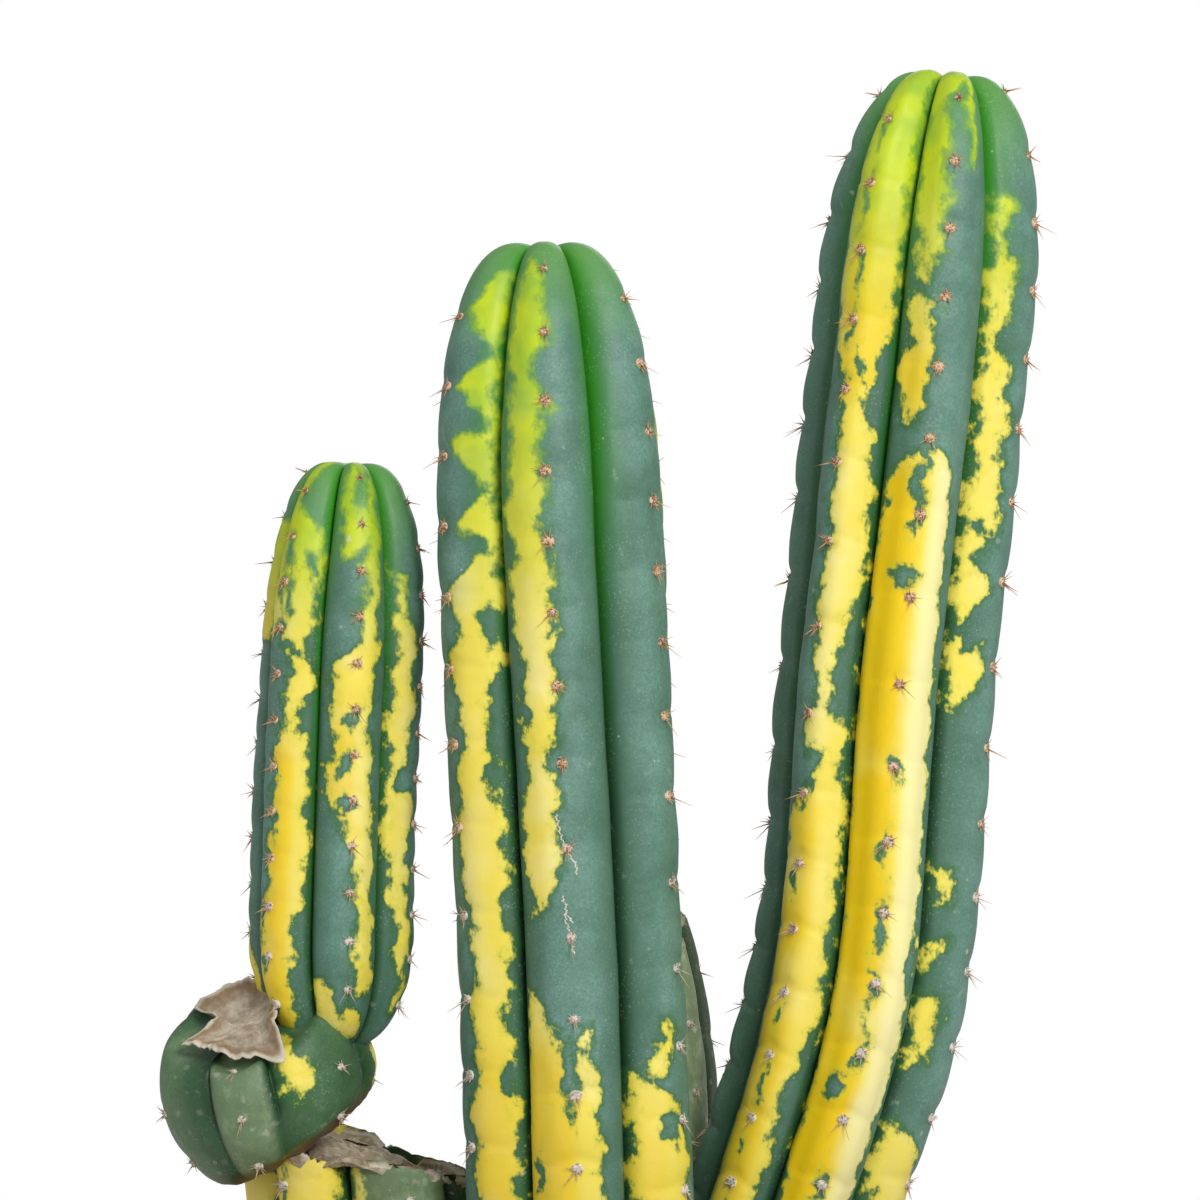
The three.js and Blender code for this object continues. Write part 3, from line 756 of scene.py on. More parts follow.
def fired_clay():
    """Unglazed terracotta with paler mineral bloom and darker damp towards the foot."""
    f = Finish("fired_clay")
    height = Num(f, f.node("ShaderNodeSeparateXYZ", {}, {"Vector": f.place}).outputs["Z"])
    clay = f.mix((0.42, 0.155, 0.075), (0.52, 0.225, 0.115), f.noise(40.0, 4.0, 0.6).between(0.35, 0.65))
    rings = f.noise(9.0, 3.0, 0.6, f.stretched((0.12, 0.12, 1.6)))
    clay = f.mix(clay, (0.36, 0.13, 0.065), rings.between(0.5, 0.75) * 0.5)
    lime = f.noise(24.0, 5.0, 0.68, f.stretched((1.0, 1.0, 0.7)))
    clay = f.mix(clay, (0.66, 0.50, 0.40), lime.between(0.55, 0.75) * 0.45)
    damp = (1 - height.between(0.0, 0.035)) * f.noise(18.0, 4.0).between(0.3, 0.7)
    clay = f.mix(clay, (0.28, 0.11, 0.06), damp * 0.6)
    grit = 1 - f.cells(2.2).between(0.07, 0.14)
    clay = f.mix(clay, (0.62, 0.42, 0.30), grit * f.noise(10.0).between(0.5, 0.6) * 0.5)
    normal = f.bump(f.noise(1.2, 4.0, 0.65), 0.25, 0.5)
    normal = f.bump(rings, 0.6, 0.35, normal)
    return f.finish(base_color=clay, roughness=0.82 + f.noise(6.0) * 0.1, normal=normal)


def potting_soil():
    """Dark, dry, gritty potting mix."""
    f = Finish("potting_soil")
    soil = f.mix((0.045, 0.030, 0.020), (0.13, 0.085, 0.055), f.noise(3.0, 5.0, 0.75).between(0.35, 0.7))
    soil = f.mix(soil, (0.24, 0.17, 0.11), f.noise(14.0, 3.0).between(0.55, 0.75) * 0.6)
    pumice = (1 - f.cells(4.0).between(0.12, 0.2)) * f.noise(7.0).between(0.55, 0.6)
    soil = f.mix(soil, (0.55, 0.52, 0.46), pumice * 0.7)
    normal = f.bump(f.noise(1.4, 5.0, 0.8), 1.6, 0.9)
    return f.finish(base_color=soil, roughness=0.95, normal=normal)


def soil_grit():
    """Crumbs, bark and pumice mixed into the soil."""
    f = Finish("soil_grit")
    tint = f.attribute("tint")
    stone = f.mix((0.07, 0.045, 0.03), (0.20, 0.13, 0.085), tint.between(0.0, 0.55))
    stone = f.mix(stone, (0.62, 0.59, 0.53), tint.between(0.72, 0.8))
    stone = f.mix(stone, (0.32, 0.24, 0.17), f.noise(1.2, 3.0, 0.6).between(0.45, 0.65) * 0.5)
    return f.finish(base_color=stone, roughness=0.93, normal=f.bump(f.noise(0.7, 4.0, 0.7), 0.4, 0.8))


WOOL, HORN = areole_wool(), spine_horn()


# ------------------------------------------------------------------ the stems
def above(foot, *offsets):
    """Places given by how far they are from foot."""
    return [tuple(a + b for a, b in zip(foot, offset)) for offset in offsets]


def foot_beside(radius, closeness, bearing):
    """A foot on the soil next to the middle stem's: 0 is straight in front of it, 90 to its right."""
    distance = closeness * (MIDDLE_RADIUS + radius)
    angle = math.radians(bearing)
    return above(MIDDLE_FOOT, (distance * math.sin(angle), -distance * math.cos(angle), 0))[0]


MIDDLE_HEIGHT, MIDDLE_RADIUS = 348.0, 37.0
RIGHT_HEIGHT, RIGHT_RADIUS = 401.0, 34.5
OLD_HEIGHT, OLD_RADIUS = 70.0, 38.0
REAR_HEIGHT, REAR_RADIUS = 140.0, 34.5
PUP_LENGTH, PUP_RADIUS = 63.0, 33.0
SHORT_LENGTH, SHORT_RADIUS = 176.0, 25.5
RIB_DEPTH, SMALL_RIB_DEPTH = 12.5, 8.5
TOUCH_GAP = 0.4
TALL_STEM_EASE = 1.0  # leaves room inside the CAD's skin for the swelling between areoles
PUP_WAY = (-0.24, -0.02, 0.97)
MIDDLE_FOOT = (-3.0, -12.0, SOIL_LEVEL)
RIGHT_FOOT = foot_beside(RIGHT_RADIUS, 0.73, 128)
OLD_FOOT = foot_beside(OLD_RADIUS, 0.88, -116)
REAR_FOOT = foot_beside(REAR_RADIUS, 1.07, 175)

middle = Stem(
    above(MIDDLE_FOOT, (0, 0, -ROOT_DEPTH), (0, 0, 0), (-4, 0, 0.26 * MIDDLE_HEIGHT),
          (-9, 2, 0.57 * MIDDLE_HEIGHT), (-13, 3, 0.88 * MIDDLE_HEIGHT), (-13.5, 3, MIDDLE_HEIGHT)),
    radius=MIDDLE_RADIUS - TALL_STEM_EASE, rib_depth=RIB_DEPTH, turn=0, tip_length=85, foot_length=100,
    fresh=135, first_areoles=(10.5, 19.0, 9.0, 15.0, 7.0, 24.0),
    spacing=lambda t: 20.7 + 5.2 * math.exp(-(((t - 176) / 45) ** 2)) - 4 * math.exp(-t / 12), seed=3)
right = Stem(
    above(RIGHT_FOOT, (-13, -1, -ROOT_DEPTH), (0, 0, 0), (21.5, -1, 0.15 * RIGHT_HEIGHT),
          (40.5, -3, 0.314 * RIGHT_HEIGHT), (48.8, -4, 0.54 * RIGHT_HEIGHT),
          (57.8, -5, 0.763 * RIGHT_HEIGHT), (68, -5, RIGHT_HEIGHT)),
    radius=RIGHT_RADIUS - TALL_STEM_EASE, rib_depth=RIB_DEPTH, turn=14, tip_length=78, foot_length=190,
    fresh=95, first_areoles=(11.0, 6.0, 15.0, 9.0, 10.0, 19.0),
    spacing=lambda t: 20.5 + 5.6 * math.exp(-(((t - 160) / 48) ** 2)) - 3 * math.exp(-t / 12), seed=5,
    scallop=np.array((0.55, 0.55, 0.55, 0.7, 0.95, 0.55)), lean=(-0.25, -0.15, 0, 0, 0, 0.1),
    grooves=(-8, 0, 0, 0, 0, -5), ridge=2.0)
old_cut = above(OLD_FOOT, (-8, 0, OLD_HEIGHT))[0]
old = Stem(
    [*above(OLD_FOOT, (4, 0, -ROOT_DEPTH), (0, 0, 0)), old_cut, above(old_cut, (-4, 0, 40))[0]],
    radius=OLD_RADIUS, rib_depth=RIB_DEPTH, turn=20, tip_length=30, foot_length=100, fresh=10,
    first_areoles=(50.0, 44.0, 58.0, 47.0, 55.0, 42.0), spacing=lambda t: 20.0, seed=7, dimple=0,
    grooves=(0, 0, 0, 0, 18, 0))
rear_cut = above(REAR_FOOT, (0, 2, REAR_HEIGHT))[0]
rear = Stem(
    [*above(REAR_FOOT, (0, -2, -ROOT_DEPTH), (0, 0, 0)), rear_cut, above(rear_cut, (0, 0, 16))[0]],
    radius=REAR_RADIUS, rib_depth=SMALL_RIB_DEPTH, turn=50, tip_length=95, foot_length=100, fresh=10,
    first_areoles=(26.0, 33.0, 22.0, 30.0, 24.0, 35.0), spacing=lambda t: 21.0, seed=9, dimple=0)
pup_foot = above(old_cut, (-21, -14, -6))[0]
pup_middle = above(pup_foot, tuple(part * 0.5 * PUP_LENGTH for part in PUP_WAY))[0]
pup = Stem(
    [pup_foot, pup_middle, above(pup_foot, tuple(part * PUP_LENGTH for part in PUP_WAY))[0]],
    radius=PUP_RADIUS, rib_depth=8.0, turn=-14, tip_length=34, foot_length=34, fresh=10,
    first_areoles=(20.0, 30.0, 24.0, 28.0, 22.0, 32.0), spacing=lambda t: 17.0, seed=11,
    ribs_at_foot=0.05, neck=0.3, scallop=0.4, dimple=0, grooves=(-10, -6, 0, 0, 0, 12), ridge=0.4,
    crease_from=16.0)
short_foot = above(pup_middle, (0.56 * PUP_RADIUS, -2, 0.38 * PUP_RADIUS))[0]
short = Stem(
    above(short_foot, (0, 0, 0), (-0.5, 0, 0.2 * SHORT_LENGTH), (1, 2, 0.45 * SHORT_LENGTH),
          (4, 3, 0.8 * SHORT_LENGTH), (5.5, 3, SHORT_LENGTH)),
    radius=SHORT_RADIUS - TOUCH_GAP, rib_depth=SMALL_RIB_DEPTH, turn=14, tip_length=65, foot_length=32,
    fresh=65, first_areoles=(6.6, 13.0, 9.0, 12.0, 5.0, 11.0), spacing=lambda t: 13.8, seed=13,
    ribs_at_foot=1.0, neck=0.3, scallop=0.35, dimple=2.2)


def dried_cut(point, facing, sunken, ragged, seed, rim=1.2):
    """Presses what stands above a cut down onto it: a raised, curled rim round a sunken, dried face."""
    normal, start = unit(facing), np.array(point, float)
    side = unit(np.cross(normal, (0, 1, 0)))
    ahead = np.cross(normal, side)

    def reshape(points):
        away = points - start
        bearing = np.arctan2(away @ ahead, away @ side)
        over = away @ normal - ragged * waves(points, 22.0, seed)
        pressed = points - normal * np.clip(over, 0, None)[:, None]
        folds = waves(np.stack([bearing * 18, over * 0.6, over * 0], -1), 14.0, seed + 1)
        lift = rim * np.exp(-(((over - 1.2) / 1.0) ** 2)) * (1 + 0.6 * folds)
        sink = -sunken * smooth_step(over, 2.0, 12.0) * (1 + 0.35 * folds)
        bowl = np.where(over > 0, lift + sink, 0.0)
        return pressed + normal * bowl[:, None], np.clip(over / 6.0, 0, 1)

    return reshape


def soft_press(over, softness):
    """How far a point over a face is pressed in, with a rounded edge instead of a crease."""
    return 0.5 * (over + np.sqrt(over**2 + softness**2))


PUP_CUT_FACING = unit((-0.32, -0.50, 0.80))
PUP_CUT = np.array(pup_middle) + PUP_CUT_FACING * 0.78 * PUP_RADIUS
PUP_SEAT_FACING = np.array((0.56, 0.08, -0.82))
PUP_SEAT = np.array(above(pup_foot, (1.2204, -26.7325, 9.9))[0])
DROOP_PLACE = np.array(old_cut[:2]) + np.array((-11.6796, -28.9325))
DROOP_WIDTH, DROOP_DEPTH = np.array((13, 14)), 9.0


def pup_ends(points):
    """The pup's cut top, and its underside pressed on to the stump it sprang from.
    The callus is carried by its own plate. Below zero it marks the rusty lip round the underside."""
    below = (points - PUP_SEAT) @ PUP_SEAT_FACING - 1.2 * waves(points, 16.0, 24)
    points = points - PUP_SEAT_FACING * (soft_press(below, 7.0) * 0.94)[:, None]
    over = (points - PUP_CUT) @ PUP_CUT_FACING
    dent = soft_press(over, 3.0) + 5.0 * smooth_step(over, -4.0, 5.0)
    return points - PUP_CUT_FACING * dent[:, None], -np.clip((below + 2.5) / 5.0, 0, 1)


def old_ends(points):
    """The old stump's dried top, which droops over its front."""
    away = (points[:, :2] - DROOP_PLACE) / DROOP_WIDTH
    droop = DROOP_DEPTH * np.exp(-(away**2).sum(axis=1))[:, None] * UPWARD
    lowered, callus = old_top(points + droop)
    return np.where(callus[:, None] > 0, lowered - droop * 0.9, points), callus


old_top = dried_cut(above(old_cut, (0, 0, 4))[0], (0.36, 0.03, 0.93), 2.0, 1.8, 22, rim=1.6)
rear_top = dried_cut(rear_cut, (0.1, -0.42, 0.9), 2.5, 1.2, 23)
middle_islands = MIDDLE_ISLANDS + areole_flecks_and_shadows(middle, (5, 0), 5, 0.07, 81)
right_islands = RIGHT_ISLANDS + areole_flecks_and_shadows(right, (5, 0), 7, 0.08, 82)
short_islands = SHORT_ISLANDS + areole_flecks_and_shadows(short, (5, 0, 1), 5, 0.2, 83)

# Each stem: its node, its shape, how deep it is rooted, its finish, its yellow, its golden tone with
# painted flank shading, its cut and the size of its areoles.
STEMS = [
    ("middle_column", middle, BURIED, SKIN, yellow_field(MIDDLE_STREAKS, middle_islands, 19.0),
     MIDDLE_GOLD, None, 1.72),
    ("right_column", right, BURIED, SKIN, yellow_field(RIGHT_STREAKS, right_islands, 18.0),
     RIGHT_GOLD_AND_FLANK_SHADING, None, 1.72),
    ("short_column", short, 0, SKIN, yellow_field(SHORT_STREAKS, short_islands, 13.5),
     SHORT_GOLD, None, 1.4),
    ("squat_pup", pup, 0, PUP_SKIN, yellow_field(PUP_STREAKS, [], 17.0), [], pup_ends, 1.5),
    ("old_stump", old, BURIED, OLD_SKIN, yellow_field(OLD_STREAKS, OLD_ISLANDS, 19.0),
     OLD_GOLD, old_ends, 1.72),
    ("rear_stump", rear, BURIED, REAR_SKIN, yellow_field(REAR_STREAKS, [], 17.0), [], rear_top, 1.5),
]

# The plate's edge, as (bearing, reach) in degrees and millimetres. 0 is right and 90 is back.
PLATE_EDGE = [
    (0, 12), (20, 13), (60, 18), (90, 21), (101, 23.5), (118, 19), (132, 25.5), (140, 20), (150, 10),
    (162, 7), (180, 9.5), (194, 20), (206, 16), (228, 13.5), (254, 16), (280, 20), (290, 20.5), (301, 28),
    (310, 21), (330, 13),
]
PLATE_RINGS, PLATE_THICKNESS = 26, 0.5


def dried_plate():
    """Papery callus: tan and streaked in its hollow, brown inside its pale, curled edge."""
    f = Finish("dried_plate")
    edge = f.attribute("edge")
    dry = f.mix((0.40, 0.31, 0.21), (0.66, 0.58, 0.45), f.noise(5.0, 4.0, 0.65).between(0.38, 0.62))
    dry = f.mix(dry, (0.20, 0.115, 0.06), f.noise(3.2, 5.0, 0.75).between(0.54, 0.74) * 0.8)
    dry = f.mix(dry, (0.33, 0.19, 0.09), edge.between(0.62, 0.84) * (1 - edge.between(0.86, 0.95)) * 0.7)
    dry = f.mix(dry, (0.80, 0.73, 0.58), edge.between(0.88, 0.97) * 0.85)
    normal = f.bump(f.noise(1.2, 5.0, 0.75), 0.7, 0.8)
    return f.finish(base_color=dry, roughness=0.85, normal=normal)


def build_plate():
    """The callus over the pup's cut: a thin, puckered dish with long points and a curled edge."""
    bm = bmesh.new()
    chain(bm, [(i / PLATE_RINGS, 0, 0) for i in range(PLATE_RINGS + 1)])
    spin_round(bm, 180)
    right = unit(np.array((1.0, 0, 0)) - PUP_CUT_FACING * PUP_CUT_FACING[0])
    back = np.cross(PUP_CUT_FACING, right)
    flat = np.array([vert.co[:2] for vert in bm.verts])
    far, bearing = np.hypot(flat[:, 0], flat[:, 1]), np.arctan2(flat[:, 1], flat[:, 0])
    bearings, reaches = np.array(PLATE_EDGE, float).T
    reach = np.zeros(len(far))
    for step in (-4, -2, 0, 2, 4):
        reach += np.interp(np.degrees(bearing) + step, bearings, reaches, period=360) / 5
    ring = np.stack([np.cos(bearing) * 30, np.sin(bearing) * 30, far * 6], -1)
    reach = reach * (1 + 0.035 * waves(ring, 9.0, 27) * far)
    pucker = waves(ring, 15.0, 25) + 0.5 * waves(ring, 6.0, 26)
    rise = -2.6 + 4.6 * smooth_step(far, 0.35, 1.0) + 1.3 * pucker * far**1.5
    drop = -0.0062 * (far * reach) ** 2
    spread = np.outer(np.cos(bearing), right) + np.outer(np.sin(bearing), back)
    spots = PUP_CUT + spread * (far * reach)[:, None] + PUP_CUT_FACING * (rise + drop)[:, None]
    edge_layer = bm.verts.layers.float.new("edge")
    for vert, spot, share in zip(bm.verts, spots, far):
        vert.co = spot * MM
        vert[edge_layer] = share
    bmesh.ops.solidify(bm, geom=bm.faces[:], thickness=PLATE_THICKNESS * MM)
    bmesh.ops.recalc_face_normals(bm, faces=bm.faces)
    add_piece(mesh_from(bm, "squat_pup_callus"), "squat_pup_callus", dried_plate(), "squat_pup")


for name, stem, root, finish, paint, gold_and_flank_shading, reshape, areole_size in STEMS:
    mesh = stem_mesh(name + "_skin", stem, root, paint, gold_and_flank_shading, reshape)
    add_piece(mesh, name + "_skin", finish, name)
build_plate()


# ------------------------------------------------------------------ areoles and spines
class Pattern:
    """One small shape, kept as arrays to be repeated."""

    def __init__(self, bm):
        mesh = mesh_from(bm, "pattern")
        self.spots = spots_of(mesh)
        self.faces = [list(face.vertices) for face in mesh.polygons]
        bpy.data.meshes.remove(mesh)


def repeated(name, pattern, matrices, attributes):
    """A mesh of the pattern once for each 3 x 4 matrix (columns: three axes and the place, mm)."""
    count, size = len(matrices), len(pattern.spots)
    copies, matrices = np.arange(count)[:, None], np.array(matrices)
    spots = np.einsum("nij,vj->nvi", matrices[:, :, :3], pattern.spots) + matrices[:, None, :, 3]
    corners = np.concatenate(pattern.faces)
    starts = np.cumsum([0] + [len(face) for face in pattern.faces])[:-1]
    mesh = bpy.data.meshes.new(name)
    mesh.vertices.add(count * size)
    mesh.vertices.foreach_set("co", (spots.reshape(-1, 3) * MM).ravel())
    mesh.loops.add(count * len(corners))
    mesh.loops.foreach_set("vertex_index", (corners + copies * size).ravel())
    mesh.polygons.add(count * len(pattern.faces))
    mesh.polygons.foreach_set("loop_start", (starts + copies * len(corners)).ravel())
    mesh.update(calc_edges=True)
    for key, values in attributes.items():
        put_attribute(mesh, key, np.broadcast_to(np.asarray(values), (count, size)).ravel())
    return mesh


def pad_pattern():
    """A ball, for pads and for beads of scar."""
    bm = bmesh.new()
    bmesh.ops.create_uvsphere(bm, u_segments=10, v_segments=6, radius=1.0)
    return Pattern(bm)


def point_pattern(sides):
    """A spike one long that stands on its foot."""
    bm = bmesh.new()
    bmesh.ops.create_cone(bm, cap_ends=True, segments=sides, radius1=1.0, radius2=0.12, depth=1.0)
    bmesh.ops.translate(bm, verts=bm.verts, vec=(0, 0, 0.5))
    return Pattern(bm)


PAD, TUFT, SPINE = pad_pattern(), point_pattern(3), point_pattern(5)
ODD_WAY = (0.31, 0.52, 0.79)  # no spine points along it
LOWEST_AREOLE = 2.0
YOUNG_ABOVE, AGED_OVER = 190.0, 60.0  # areoles grey over this height below the young ones
MOST_SHIFT = 4.0  # an areole whose skin has been pressed further than this is gone
USUAL_SIZE = 1.7
TUFTS_PER_AREOLE = 16


def grown_share(below_tip):
    """Areoles close to the growing point are still small."""
    return 0.45 + 0.55 * min(max((below_tip - 4) / 30.0, 0.0), 1.0)


def leaning(skin, turn, tilt):
    """The way out of the skin, tilted towards turn: 0 is sideways and a quarter turn is up."""
    out, up, side = skin
    return out * math.cos(tilt) + (up * math.sin(turn) + side * math.cos(turn)) * math.sin(tilt)


def per_copy(values):
    """One value for all the points of each copy of a pattern."""
    return np.array(values)[:, None]


def pointing(way, width, length, place):
    """A matrix that stands a point up along way."""
    way = unit(way)
    side = unit(np.cross(way, ODD_WAY))
    return np.column_stack([side * width, np.cross(way, side) * width, way * length, place])


def areoles_of(name, stem, size, reshape, seed):
    """Woolly pads along each rib's crest with their tufts and spines."""
    dice = random.Random(seed)
    pads, pad_age, tufts, tuft_age, spines, spine_age = [], [], [], [], [], []
    for k in range(RIB_COUNT):
        along = stem.areoles[k]
        around = np.full(len(along), k + stem.lean[k] / 2)
        place, gone = stem.skin(along, around), np.zeros(len(along), bool)
        upward = stem.skin(along + 1.5, around) - stem.skin(along - 1.5, around)
        sideways = stem.skin(along, around + 0.05) - stem.skin(along, around - 0.05)
        if reshape:
            shaped, callus = reshape(place)
            gone = (callus > 0) | (np.linalg.norm(shaped - place, axis=1) > MOST_SHIFT)
            place = shaped
        for i in range(len(along)):
            height = place[i][2] - SOIL_LEVEL
            if gone[i] or height < LOWEST_AREOLE:
                continue
            up = unit(upward[i])
            out = unit(np.cross(sideways[i], up))
            side = np.cross(up, out)
            skin = out, up, side
            age = min(max((YOUNG_ABOVE - height) / AGED_OVER + dice.uniform(-0.2, 0.2), 0.0), 1.0)
            grown = grown_share(stem.length - along[i])
            wide = size * dice.uniform(0.85, 1.1) * grown
            spot = place[i] + out * 0.15
            pads.append(np.column_stack([side * wide * 1.05, up * wide * 0.9, out * wide * 0.5, spot]))
            pad_age.append(age)
            for _ in range(TUFTS_PER_AREOLE):
                turn, tilt = dice.uniform(0, FULL_TURN), dice.uniform(0.2, 1.25)
                root = spot + leaning(skin, turn, math.pi / 2) * wide * dice.uniform(0.3, 0.85)
                way, length = leaning(skin, turn, tilt), dice.uniform(0.35, 0.8) * wide
                tufts.append(pointing(way, 0.2 * wide, length, root + out * 0.2 * wide))
                tuft_age.append(age)
            count = dice.choice((5, 6, 7, 8)) if age < 0.7 else dice.choice((3, 4, 5, 6))
            start_turn = dice.uniform(0, FULL_TURN)
            for j in range(count):
                turn = start_turn + j * FULL_TURN / count + dice.uniform(-0.4, 0.4)
                tilt = dice.uniform(0.7, 1.35)
                length = dice.uniform(2.0, 4.4) * (0.5 + 0.5 * grown) * size / USUAL_SIZE
                if j == 0 or (j == 1 and dice.random() < 0.5):
                    turn, tilt = dice.uniform(3.6, 5.8), dice.uniform(0.5, 1.1)
                    length = dice.uniform(4.5, 7.5) * (0.6 + 0.4 * grown) * size / USUAL_SIZE
                way = leaning(skin, turn, tilt)
                spines.append(pointing(way, dice.uniform(0.2, 0.3), length, spot + way * wide * 0.25))
                spine_age.append(age)
    crown, foot = (PAD.spots[:, 2] > 0.9) * 1.0, (TUFT.spots[:, 2] < 0.5) * 0.6
    for part, pattern, matrices, finish, marks in (
            ("_areoles", PAD, pads, WOOL, {"age": per_copy(pad_age), "root": crown}),
            ("_wool", TUFT, tufts, WOOL, {"age": per_copy(tuft_age), "root": foot}),
            ("_spines", SPINE, spines, HORN, {"age": per_copy(spine_age), "along": SPINE.spots[:, 2]})):
        add_piece(repeated(name + part, pattern, matrices, marks), name + part, finish, name)


for name, stem, root, finish, paint, gold_and_flank_shading, reshape, areole_size in STEMS:
    areoles_of(name, stem, areole_size, reshape, seed=len(name) + 40)


SCARS = [
    [(177, -.14), (172, -.1), (168, -.05), (165, .03), (162, .12), (159, .13)],
    [(153, -.12), (150, -.06), (146, -.08), (143, -.03), (140, -.01), (136, .03)],
    [(148, -.07), (146, .0), (145, .05)],
]


def build_scars():
    """Thin dried scars on the middle stem's front rib, in (height above the soil, across) runs."""
    beads, dice = [], random.Random(61)
    for run in SCARS:
        levels, sides = np.array(run[::-1], float).T
        heights = np.arange(levels[0], levels[-1], 0.3)
        along = np.interp(heights + SOIL_LEVEL, middle.run[:, 2], middle.marks)
        shake = 0.012 * np.sin(heights * 3.1) + 0.008 * np.sin(heights * 7.7)
        around = (np.interp(heights, levels, sides) + shake) / 2
        place = middle.skin(along, around)
        for spot, lower in zip(place[1:], place[:-1]):
            way = unit(spot - lower)
            across = np.cross(way, (0, 1, 0)) * dice.uniform(0.12, 0.28)
            beads.append(np.column_stack([across, way * 0.4, (0, 0.16, 0), spot]))
    mesh = repeated("middle_column_scars", PAD, beads, {"age": 0.9, "root": 0.0})
    add_piece(mesh, "middle_column_scars", WOOL, "middle_column")


build_scars()


# ------------------------------------------------------------------ pot and soil
POT_HEIGHT, RIM_RADIUS, RIM_HEIGHT, RIM_STEP = 215.0, 140.0, 40.0, 6.0
FOOT_RADIUS, WALL, FLOOR, DRAIN_RADIUS = 98.0, 9.0, 13.0, 14.0
SHOULDER_HEIGHT, SHOULDER_RADIUS = POT_HEIGHT - RIM_HEIGHT, RIM_RADIUS - RIM_STEP
WALL_SLOPE = (SHOULDER_RADIUS - FOOT_RADIUS) / SHOULDER_HEIGHT
INNER_RADIUS = SHOULDER_RADIUS - WALL
FLOOR_RADIUS = FOOT_RADIUS + WALL_SLOPE * FLOOR - WALL
SOIL_GAP = 0.5


def spun(profile, steps, rounding, sharp):
    """Spins a closed outline of (radius, height) about the upright axis, its corners rounded except
    the sharp ones."""
    bm = bmesh.new()
    corners = [bm.verts.new((radius * MM, 0, height * MM)) for radius, height in profile]
    bm.faces.new(corners)
    bmesh.ops.bevel(bm, geom=[v for i, v in enumerate(corners) if i not in sharp], offset=rounding * MM,
                    offset_type="OFFSET", segments=4, profile=0.5, affect="VERTICES", material=-1)
    bmesh.ops.delete(bm, geom=list(bm.faces), context="FACES_ONLY")
    for edge in [edge for edge in bm.edges if edge.calc_length() > 9 * MM]:
        bmesh.ops.subdivide_edges(bm, edges=[edge], cuts=int(edge.calc_length() / (4 * MM)))
    spin_round(bm, steps)
    return bm


def build_pot():
    """A tapered clay pot with a rolled rim, thrown a little uneven, and a drain hole."""
    bm = spun([(DRAIN_RADIUS, 0), (FOOT_RADIUS, 0), (SHOULDER_RADIUS, SHOULDER_HEIGHT),
               (RIM_RADIUS - 1, SHOULDER_HEIGHT), (RIM_RADIUS, POT_HEIGHT), (INNER_RADIUS, POT_HEIGHT),
               (INNER_RADIUS, SHOULDER_HEIGHT), (FLOOR_RADIUS, FLOOR), (DRAIN_RADIUS, FLOOR)],
              steps=160, rounding=2.6, sharp=(6,))
    mesh = mesh_from(bm, "clay_pot")
    spots = spots_of(mesh) / MM
    out = spots[:, :2] / np.linalg.norm(spots[:, :2], axis=1, keepdims=True)
    inside_edges = smooth_step(spots[:, 2], 6, 20) * (1 - smooth_step(spots[:, 2], 198, 208))
    rings = 0.22 * np.sin(spots[:, 2] * 0.55) + 0.16 * np.sin(spots[:, 2] * 0.23 + 1.0)
    dents = 0.35 * waves(spots, 90.0, 31)
    spots[:, :2] += out * ((rings + dents - 0.35) * inside_edges)[:, None]
    move_to(mesh, spots)
    add_piece(mesh, "clay_pot", fired_clay(), "pot")


SOIL_MOUND = 3.0
STEM_FEET = [(MIDDLE_FOOT, 30), (RIGHT_FOOT, 26), (OLD_FOOT, 28), (REAR_FOOT, 26)]  # and their radii
SOIL_RINGS = 90
GRIT_COUNT = 2600


def soil_height(spots):
    """The soil's top: a slight mound, lumps, and a little heaped against each stem."""
    far = np.hypot(spots[:, 0], spots[:, 1])
    height = SOIL_LEVEL + SOIL_MOUND * np.clip(1 - (far / INNER_RADIUS) ** 2, 0, 1)
    flat = np.stack([spots[:, 0], spots[:, 1], spots[:, 0] * 0], -1)
    height = height + 0.9 * waves(flat, 26.0, 41) + 0.7 * waves(flat, 9.0, 42) + 0.45 * waves(flat, 3.6, 43)
    for foot, radius in STEM_FEET:
        gap = np.hypot(spots[:, 0] - foot[0], spots[:, 1] - foot[1]) - radius
        height = height + 1.6 * np.exp(-((np.maximum(gap, 0) / 7.0) ** 2))
    return height


def build_soil():
    """The potting mix, which fills the pot's inside up to its level."""
    rim, bottom, low_radius = INNER_RADIUS - SOIL_GAP, FLOOR + TOUCH_GAP, FLOOR_RADIUS - SOIL_GAP
    outline = [(rim * i / SOIL_RINGS, SOIL_LEVEL) for i in range(SOIL_RINGS + 1)]
    outline += [(rim, SHOULDER_HEIGHT), (low_radius, bottom), (0, bottom)]
    bm = bmesh.new()
    chain(bm, [(radius * MM, 0, height * MM) for radius, height in outline])
    spin_round(bm, 256)
    mesh = mesh_from(bm, "potting_mix")
    spots = spots_of(mesh) / MM
    upper = spots[:, 2] > SOIL_LEVEL - 0.5
    spots[upper, 2] = soil_height(spots[upper])
    move_to(mesh, spots)
    add_piece(mesh, "potting_mix", potting_soil(), "soil")


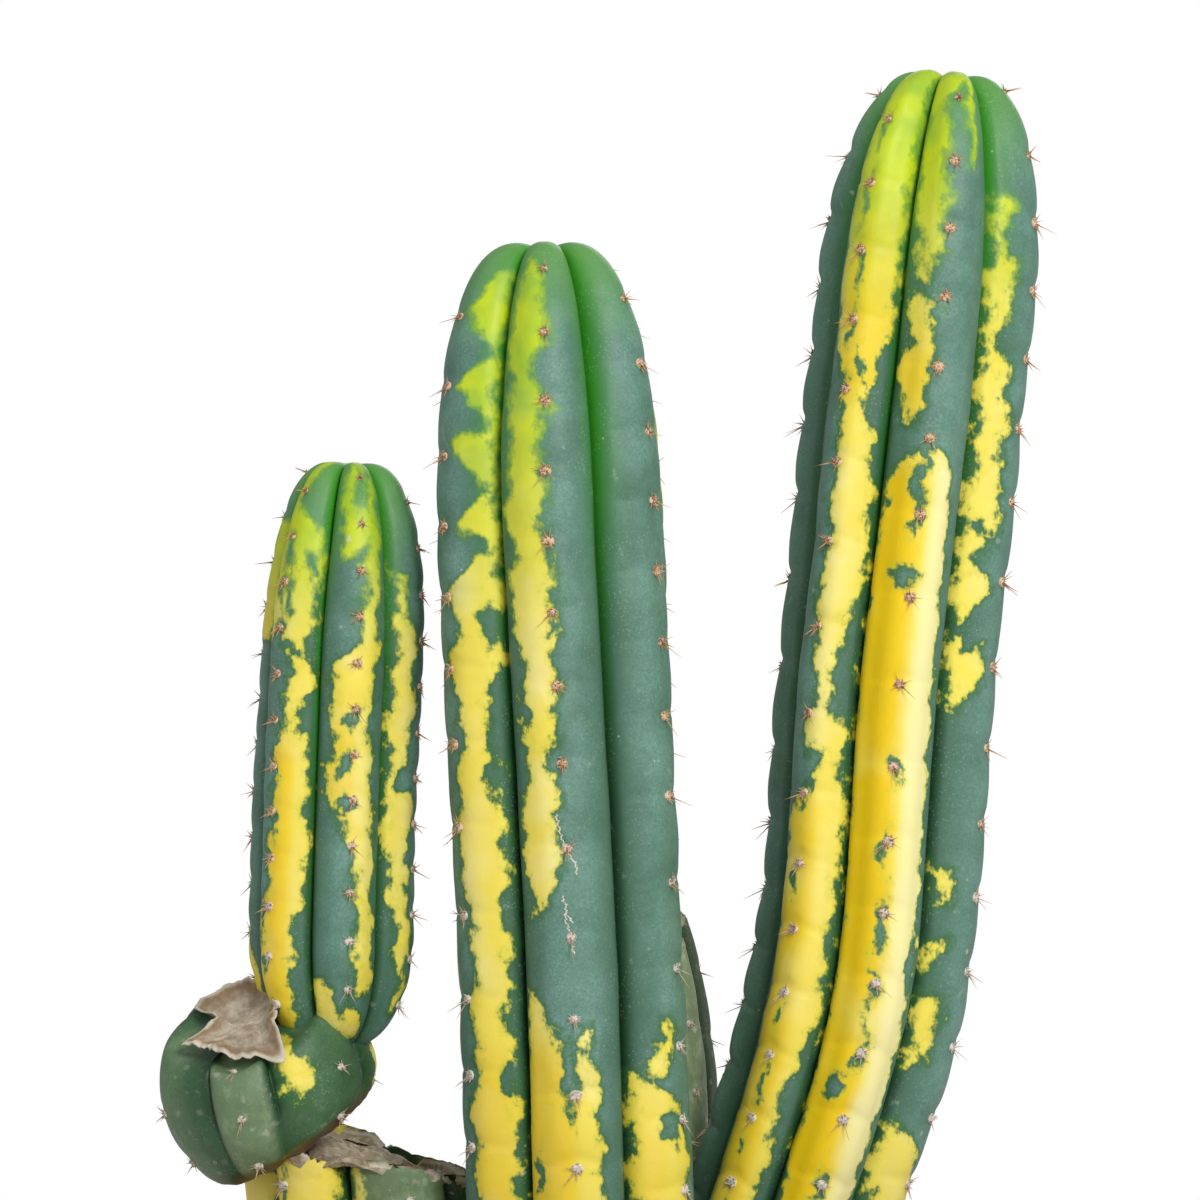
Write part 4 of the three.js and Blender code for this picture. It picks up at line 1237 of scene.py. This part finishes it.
def build_grit():
    """Crumbs and stones lying in the soil."""
    dice = random.Random(51)
    bm = bmesh.new()
    bmesh.ops.create_icosphere(bm, subdivisions=1, radius=1.0)
    stone = Pattern(bm)
    stone.spots = stone.spots * (1 + 0.18 * waves(stone.spots * 10, 9.0, 44))[:, None]
    matrices, tints = [], []
    while len(matrices) < GRIT_COUNT:
        far, bearing = (INNER_RADIUS - 3) * math.sqrt(dice.random()), dice.uniform(0, FULL_TURN)
        x, y = far * math.cos(bearing), far * math.sin(bearing)
        if any(math.hypot(x - foot[0], y - foot[1]) < radius - 3 for foot, radius in STEM_FEET):
            continue
        size = 0.7 + 2.6 * dice.random() ** 3
        way = Vector((dice.uniform(-1, 1), dice.uniform(-1, 1), dice.uniform(-1, 1))).normalized()
        turn = np.array(Matrix.Rotation(dice.uniform(0, FULL_TURN), 3, way))
        shape = turn @ np.diag([size * dice.uniform(0.8, 1.5), size, size * dice.uniform(0.5, 0.9)])
        z = soil_height(np.array([[x, y, 0.0]]))[0] + size * 0.15
        matrices.append(np.column_stack([shape, (x, y, z)]))
        tints.append(dice.random())
    mesh = repeated("grit", stone, matrices, {"tint": per_copy(tints)})
    add_piece(mesh, "grit", soil_grit(), "soil", smooth=False)


build_pot()
build_soil()
build_grit()


# ------------------------------------------------------------------ stage
def soft_light(name, place, aim, size, watts):
    lamp = bpy.data.lights.new(name, "AREA")
    lamp.shape, lamp.size, lamp.energy = "DISK", size, watts
    lamp_object = bpy.data.objects.new(name, lamp)
    lamp_object.location = place
    lamp_object.rotation_euler = (Vector(aim) - Vector(place)).to_track_quat("-Z", "Y").to_euler()
    bpy.context.scene.collection.objects.link(lamp_object)


def build_stage():
    scene = bpy.context.scene
    scene.view_settings.view_transform = "Standard"
    view_height = SOIL_LEVEL * MM + 0.240
    soft_light("key_light", (0.75, -1.7, 1.35), (0, 0, 0.35), 0.9, 28)
    soft_light("fill_light", (-1.6, -1.3, 0.7), (0, 0, 0.35), 1.2, 1)
    soft_light("back_light", (0.4, 1.7, 1.3), (0, 0, 0.35), 1.2, 9)
    world = bpy.data.worlds.new("studio")
    world.use_nodes = True
    scene.world = world
    nodes, links = world.node_tree.nodes, world.node_tree.links
    nodes.clear()
    seen = nodes.new("ShaderNodeLightPath").outputs["Is Camera Ray"]
    ambient, backdrop = nodes.new("ShaderNodeBackground"), nodes.new("ShaderNodeBackground")
    ambient.inputs["Strength"].default_value = 0.42
    backdrop.inputs["Strength"].default_value = 1.0
    for background in (ambient, backdrop):
        background.inputs["Color"].default_value = (1, 1, 1, 1)
    choice = nodes.new("ShaderNodeMixShader")
    links.new(seen, choice.inputs["Fac"])
    links.new(ambient.outputs[0], choice.inputs[1])
    links.new(backdrop.outputs[0], choice.inputs[2])
    links.new(choice.outputs[0], nodes.new("ShaderNodeOutputWorld").inputs["Surface"])
    bm = bmesh.new()
    bmesh.ops.create_circle(bm, cap_ends=True, segments=96, radius=1.3)
    bmesh.ops.translate(bm, verts=bm.verts, vec=(0, 0, cad_low.z))
    floor_mesh = bpy.data.meshes.new("floor")
    bm.to_mesh(floor_mesh)
    bm.free()
    plain = Finish("pale_floor")
    floor_mesh.materials.append(plain.finish(base_color=(0.86, 0.86, 0.85, 1.0), roughness=0.75))
    floor = bpy.data.objects.new("floor", floor_mesh)
    scene.collection.objects.link(floor)
    camera = bpy.data.cameras.new("camera")
    camera.lens, camera.sensor_width = 160, 36
    camera_object = bpy.data.objects.new("camera", camera)
    camera_object.location = (0, -1.6, view_height)
    camera_object.rotation_euler = (math.radians(90), 0, 0)
    scene.collection.objects.link(camera_object)
    scene.camera = camera_object


build_stage()
